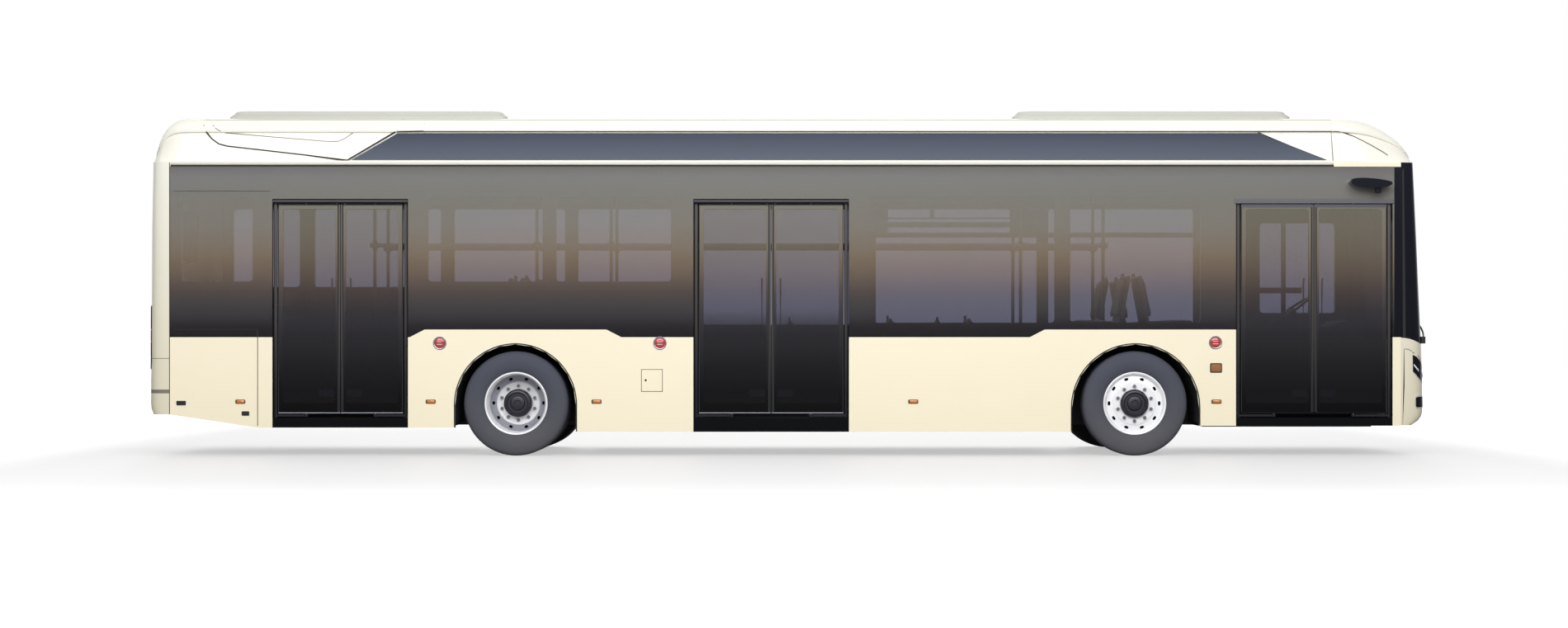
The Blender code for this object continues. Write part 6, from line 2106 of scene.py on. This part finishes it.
@dataclass(frozen=True)
class SeatGroup:
    """Seats bolted to one plinth: a moulded shell, a leg frame, a handle and two pads for each."""

    node: str
    base: float
    cushion: float
    back: float
    low: float
    high: float
    places: int
    rows: tuple[tuple[float, int], ...]
    depth: float = 0.44
    lean: float = 0.09

    def build(self) -> None:
        """Builds the group over its node."""
        shell, frame = Form(), Form()
        seat, top = self.base + self.cushion, self.base + self.back
        reach = [x + facing * u for x, facing in self.rows for u in (0.06, 0.30)]
        frame.block((min(reach), self.low, self.base), (max(reach), self.high, self.base + 0.028))
        pitch = (self.high - self.low) / self.places
        aisle = 1 if self.low + self.high < 0 else -1
        for row, (x, facing) in enumerate(self.rows):
            for place in range(self.places):
                near, far = self.low + pitch * place + 0.012, self.low + pitch * (place + 1) - 0.012
                profile = [
                    (self.depth, seat - 0.034), (self.depth - 0.004, seat - 0.045), (0.30, seat - 0.068),
                    (0.01, seat - 0.068), (-0.004, seat - 0.060), (-0.012, seat - 0.030),
                    (-self.lean, top - 0.030),
                    (-self.lean + 0.006, top - 0.008), (-self.lean + 0.020, top - 0.002),
                    (-self.lean + 0.028, top - 0.010), (-self.lean + 0.026, top - 0.030),
                    (0.010, seat - 0.020), (0.035, seat - 0.045), (0.12, seat - 0.050), (0.30, seat - 0.050),
                ]
                shell.plate([(x + facing * u, z) for u, z in profile], near, far)
                for y in (near + 0.07, far - 0.07):
                    for u, foot in ((0.15, 0.13), (0.27, 0.29)):
                        frame.tube([(x + facing * foot, y, self.base + 0.02),
                                    (x + facing * u, y, seat - 0.062)],
                                   0.013, 8)
                middle = (near + far) / 2
                word = f"{self.node}_{row}_{place}"
                Pad(f"{word}_cushion", (x + facing * 0.232, middle, seat - 0.048), (0.40, far - near - 0.02),
                    0.050,
                    (facing, 0, 0.03), (-0.03 * facing, 0, 1)).build()
                rise = Vector((-facing * 0.086, 0, top - seat - 0.02)).normalized()
                out = Vector((facing * rise.z, 0, -facing * rise.x))
                spot = Vector((x - facing * 0.028, middle, (seat + top) / 2 + 0.006))
                Pad(f"{word}_back", tuple(spot), (top - seat - 0.05, far - near - 0.03), 0.038,
                    tuple(rise), tuple(out)).build()
            y = self.high - 0.05 if aisle > 0 else self.low + 0.05
            inner = y - aisle * 0.16
            crest = x - facing * (self.lean - 0.012)
            frame.tube([(crest, y, top - 0.05), (crest, y, top + 0.010),
                        (crest, y - aisle * 0.012, top + 0.026),
                        (crest, inner + aisle * 0.012, top + 0.026), (crest, inner, top + 0.010),
                        (crest, inner, top - 0.05)], 0.009, 8)
        add(shell, f"{self.node}_shells", PLASTIC, "interior_grey", self.node, bevel=0.003, angle=35)
        add(frame, f"{self.node}_frames", POLE, "rail_metal", angle=40)


HOUSE_SEATS = 1.0849
SEAT_GROUPS = (
    SeatGroup("seats_right_front", HOUSE_SEATS, 0.20, 0.62, -1.20, -0.56, 1, ((3.162, -1), (3.422, 1))),
    SeatGroup("seats_left_front", HOUSE_SEATS, 0.20, 0.62, 0.56, 1.20, 1, ((3.162, -1), (3.422, 1))),
    SeatGroup("seats_right_rear", HOUSE_SEATS, 0.20, 0.60, -1.20, -0.56, 1, ((-2.699, -1), (-2.439, 1))),
    SeatGroup("seats_left_rear", HOUSE_SEATS, 0.20, 0.60, 0.56, 1.20, 1, ((-2.699, -1), (-2.439, 1))),
    SeatGroup("seats_left_middle", 0.3603, 0.45, 0.94, 0.50, 1.20, 2, ((0.10, 1), (0.85, 1), (1.60, 1))),
    SeatGroup("seats_right_middle", 0.3603, 0.45, 0.94, -1.20, -0.50, 2, ((1.05, 1), (1.80, 1))),
    SeatGroup("rear_bench", 0.8003, 0.42, 0.86, -1.20, 0.145, 3, ((-5.62, 1),)),
)


def build_seats() -> None:
    """Builds the passenger seats, and the pads and headrest of the driver's seat."""
    for group in SEAT_GROUPS:
        group.build()
    Pad("driver_cushion", (4.74, 0.75, 1.058), (0.42, 0.48), 0.05, (1, 0, 0.03), (-0.03, 0, 1)).build()
    rise = Vector((-0.085, 0, 0.60)).normalized()
    out = (rise.z, 0, -rise.x)
    Pad("driver_back", (4.513, 0.75, 1.37), (0.54, 0.46), 0.045, tuple(rise), out).build()
    Pad("driver_headrest", (4.462, 0.75, 1.715), (0.12, 0.28), 0.05, tuple(rise), out, 0.03).build()


@dataclass
class Rails:
    """Grab rails: two long tubes, poles with flanges, and cross bars."""

    poles: tuple[float, ...] = (-4.02, -2.44, -1.715, 2.275, 3.08)
    bars: tuple[float, ...] = (-1.658, 2.332)
    across: float = 0.45
    height: float = 2.02

    def build(self) -> None:
        """Builds the frame over its node."""
        low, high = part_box("grab_rails")
        form, joints = Form(), Form()
        for side in Side:
            y = side.value * self.across
            ends = (low[0], high[0])
            form.tube([(ends[0], y, self.height), (ends[1], y, self.height)], 0.0195, 16)
            for x in self.poles:
                form.tube([(x, y, low[2]), (x, y, high[2])], 0.0165, 16)
                joints.tube([(x, y, self.height - 0.045), (x, y, self.height + 0.045)], 0.0235, 16)
                joints.tube([(x - 0.045, y, self.height), (x + 0.045, y, self.height)], 0.0245, 16)
                joints.tube([(x, y, low[2]), (x, y, low[2] + 0.008)], 0.042, 20)
                joints.tube([(x, y, high[2] - 0.008), (x, y, high[2])], 0.042, 20)
        for x in self.bars:
            form.tube([(x, -self.across, self.height), (x, self.across, self.height)], 0.0185, 16)
            for y in (-self.across, self.across):
                joints.tube([(x, y - 0.03, self.height), (x, y + 0.03, self.height)], 0.0232, 16)
        add(form, "rail_tubes", POLE, "rail_metal", "grab_rails", angle=40)
        add(joints, "rail_joints", BLACK, "black_trim", angle=40)


@dataclass
class CameraPod:
    """Wing that carries the mirror camera, above the front door and the cab window."""

    side: Side

    def build(self) -> None:
        """Builds the pod over its node: a teardrop wing with a lens housing below its tip and a painted
        highlight strip along its side.
        """
        node = f"camera_{self.side.word}"
        low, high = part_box(node)
        inner, outer = sorted((low[1], high[1]), key=abs)
        top = ((5.300, 2.585), (5.310, 2.612), (5.360, 2.6225), (5.417, 2.6235), (5.490, 2.6205),
               (5.555, 2.6135), (5.625, 2.6015), (5.684, 2.587), (5.690, 2.573))
        foot = ((5.300, 2.578), (5.312, 2.563), (5.330, 2.548), (5.362, 2.534), (5.420, 2.527),
                (5.500, 2.523), (5.580, 2.523), (5.650, 2.540), (5.690, 2.560))
        middle = [((a + c) / 2, (b + d) / 2) for (a, b), (c, d) in zip(top, foot)]
        centre = (sum(x for x, _ in middle) / len(middle), sum(z for _, z in middle) / len(middle))
        outline = [*top, *reversed(foot)]
        form = Form()
        sections = []
        for share, size in ((0.0, 0.72), (0.25, 0.80), (0.60, 0.92), (0.85, 1.0), (0.95, 0.985), (1.0, 0.93)):
            y = inner + (outer - inner) * share
            sections.append([(centre[0] + (x - centre[0]) * (0.9 + 0.1 * size), y,
                              centre[1] + (z - centre[1]) * size)
                             for x, z in outline])
        form.loft(sections)
        add(form, f"{node}_wing", GLOSS_BLACK, "black_trim", node, angle=40)
        drop = Form()
        y = inner + (outer - inner) * 0.72
        levels = ((2.530, 1.0), (2.500, 0.96), (2.486, 0.86), (2.4785, 0.66), (low[2] + 0.002, 0.30))
        drop.loft([[(5.560 + 0.034 * size * math.cos(t), y + 0.030 * size * math.sin(t), z)
                    for t in (math.tau * i / 20 for i in range(20))] for z, size in levels])
        add(drop, f"{node}_eye", SCREEN, "smoked_glass", angle=40)
        # The thin bright strip along the wing's outer face is a painted highlight.
        line = Form().plate([(5.395, 2.564), (5.680, 2.556), (5.680, 2.560), (5.395, 2.569)],
                            outer - self.side.value * 0.004, outer - self.side.value * 0.0002)
        add(line, f"{node}_line", CHROME, "black_trim", angle=40)


# Door openings and glass bands


@dataclass
class Openings:
    """Black frames and strips round the door openings, pillar plates and bars behind the far glass."""

    face: float = 1.275
    doors: tuple[Point, ...] = ((-4.867, -3.585), (-0.888, 0.583), (4.241, 5.721))
    levels: tuple[float, ...] = (2.3875, 2.4040, 2.4165, 2.4300)
    frame_foot: float = 0.362
    frame_top: float = 2.4275
    pillar: tuple[Point, Point] = ((5.7375, 1.128), (5.7995, 2.727))
    far_bars: tuple[tuple[float, ...], ...] = (
        (0.84, 4.22, 2.163, 2.215), (1.047, 2.312, 2.268, 2.324), (1.047, 2.312, 2.354, 2.371),
        (1.483, 1.526, 2.371, 2.46), (2.312, 2.60, 2.215, 2.46), (0.84, 1.047, 2.215, 2.46),
        (5.124, 5.173, 1.38, 2.31), (4.85, 5.34, 1.585, 1.645),
    )

    def build(self) -> None:
        """Builds the frames and bars."""
        frames, bars, strips, pillars = Form(), Form(), Form(), Form()
        near = -self.face
        foot, strip_low, strip_high, head = self.levels
        for start, end in self.doors:
            for low, high in ((start + 0.0003, start + 0.0045), (end - 0.0045, end - 0.0003)):
                frames.block((low, near - 0.001, self.frame_foot), (high, near + 0.012, self.frame_top))
            frames.block((start, near - 0.0012, strip_high), (end, near + 0.0045, head))
            frames.block((start + 0.005, near + 0.0005, foot), (end - 0.005, near + 0.0045, strip_low))
            strips.block((start + 0.005, near - 0.0006, strip_low), (end - 0.005, near + 0.0045, strip_high))
        add(strips, "door_head_strips", POST, "black_trim")
        for low, high, bottom, top in self.far_bars:
            bars.block((low, self.face - 0.0155, bottom), (high, self.face - 0.0095, top))
        header = Form().block((4.226, near - 0.006, foot), (5.736, near + 0.0045, 2.4310))
        add(header, "front_door_header", HEADER, "black_trim")
        add(frames, "door_frames", GLOSS_BLACK, "black_trim")
        (back, low), (front, high) = self.pillar
        for side in Side:
            inner, outer = sorted((side.value * (self.face - 0.002), side.value * (self.face + 0.0008)))
            pillars.block((back, inner, low), (front, outer, high))
        add(pillars, "pillar_plates", GLOSS_BLACK, "black_trim")
        add(bars, "window_bars", GLOSS_BLACK, "black_trim")


NODE_FINISHES = (
    # finish, nodes
    (CREAM, ("right_side_wall", "left_side_wall")),
    (BAND, ("right_glazing", "left_glazing")),
    (SLATE, ("right_fairing", "left_fairing")),
    (UNDER, ("chassis_frame", "front_axle", "rear_axle", "knuckle_right", "knuckle_left")),
    (DECK, ("floor_deck",)),
    (INSIDE, ("drive_unit", "driver_cab")),
)


def dress_nodes(nodes: dict[str, bpy.types.Object]) -> None:
    """Gives the CAD nodes that stay in the picture their finishes.

    Args:
        nodes: the loaded nodes by name.
    """
    posts = tuple(name for name in nodes if "_post_" in name)
    for finish, names in (*NODE_FINISHES, (POST, posts)):
        for name in names:
            for place in nodes[name].material_slots:
                place.material = dressed(finish)
        LOG.info("%s on %d nodes", finish.name, len(names))


def main() -> None:
    """Loads the frame and builds every piece."""
    logging.basicConfig(level=logging.INFO, format="%(name)s: %(message)s")
    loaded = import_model()
    dress_nodes(loaded["nodes"])
    Studio().build()
    FrontEnd().build()
    RearEnd().build()
    Roof().build()
    build_wheels()
    build_doors()
    SideTrim().build()
    build_seats()
    Rails().build()
    for side in Side:
        CameraPod(side).build()
    Openings().build()


if __name__ == "__main__":
    main()
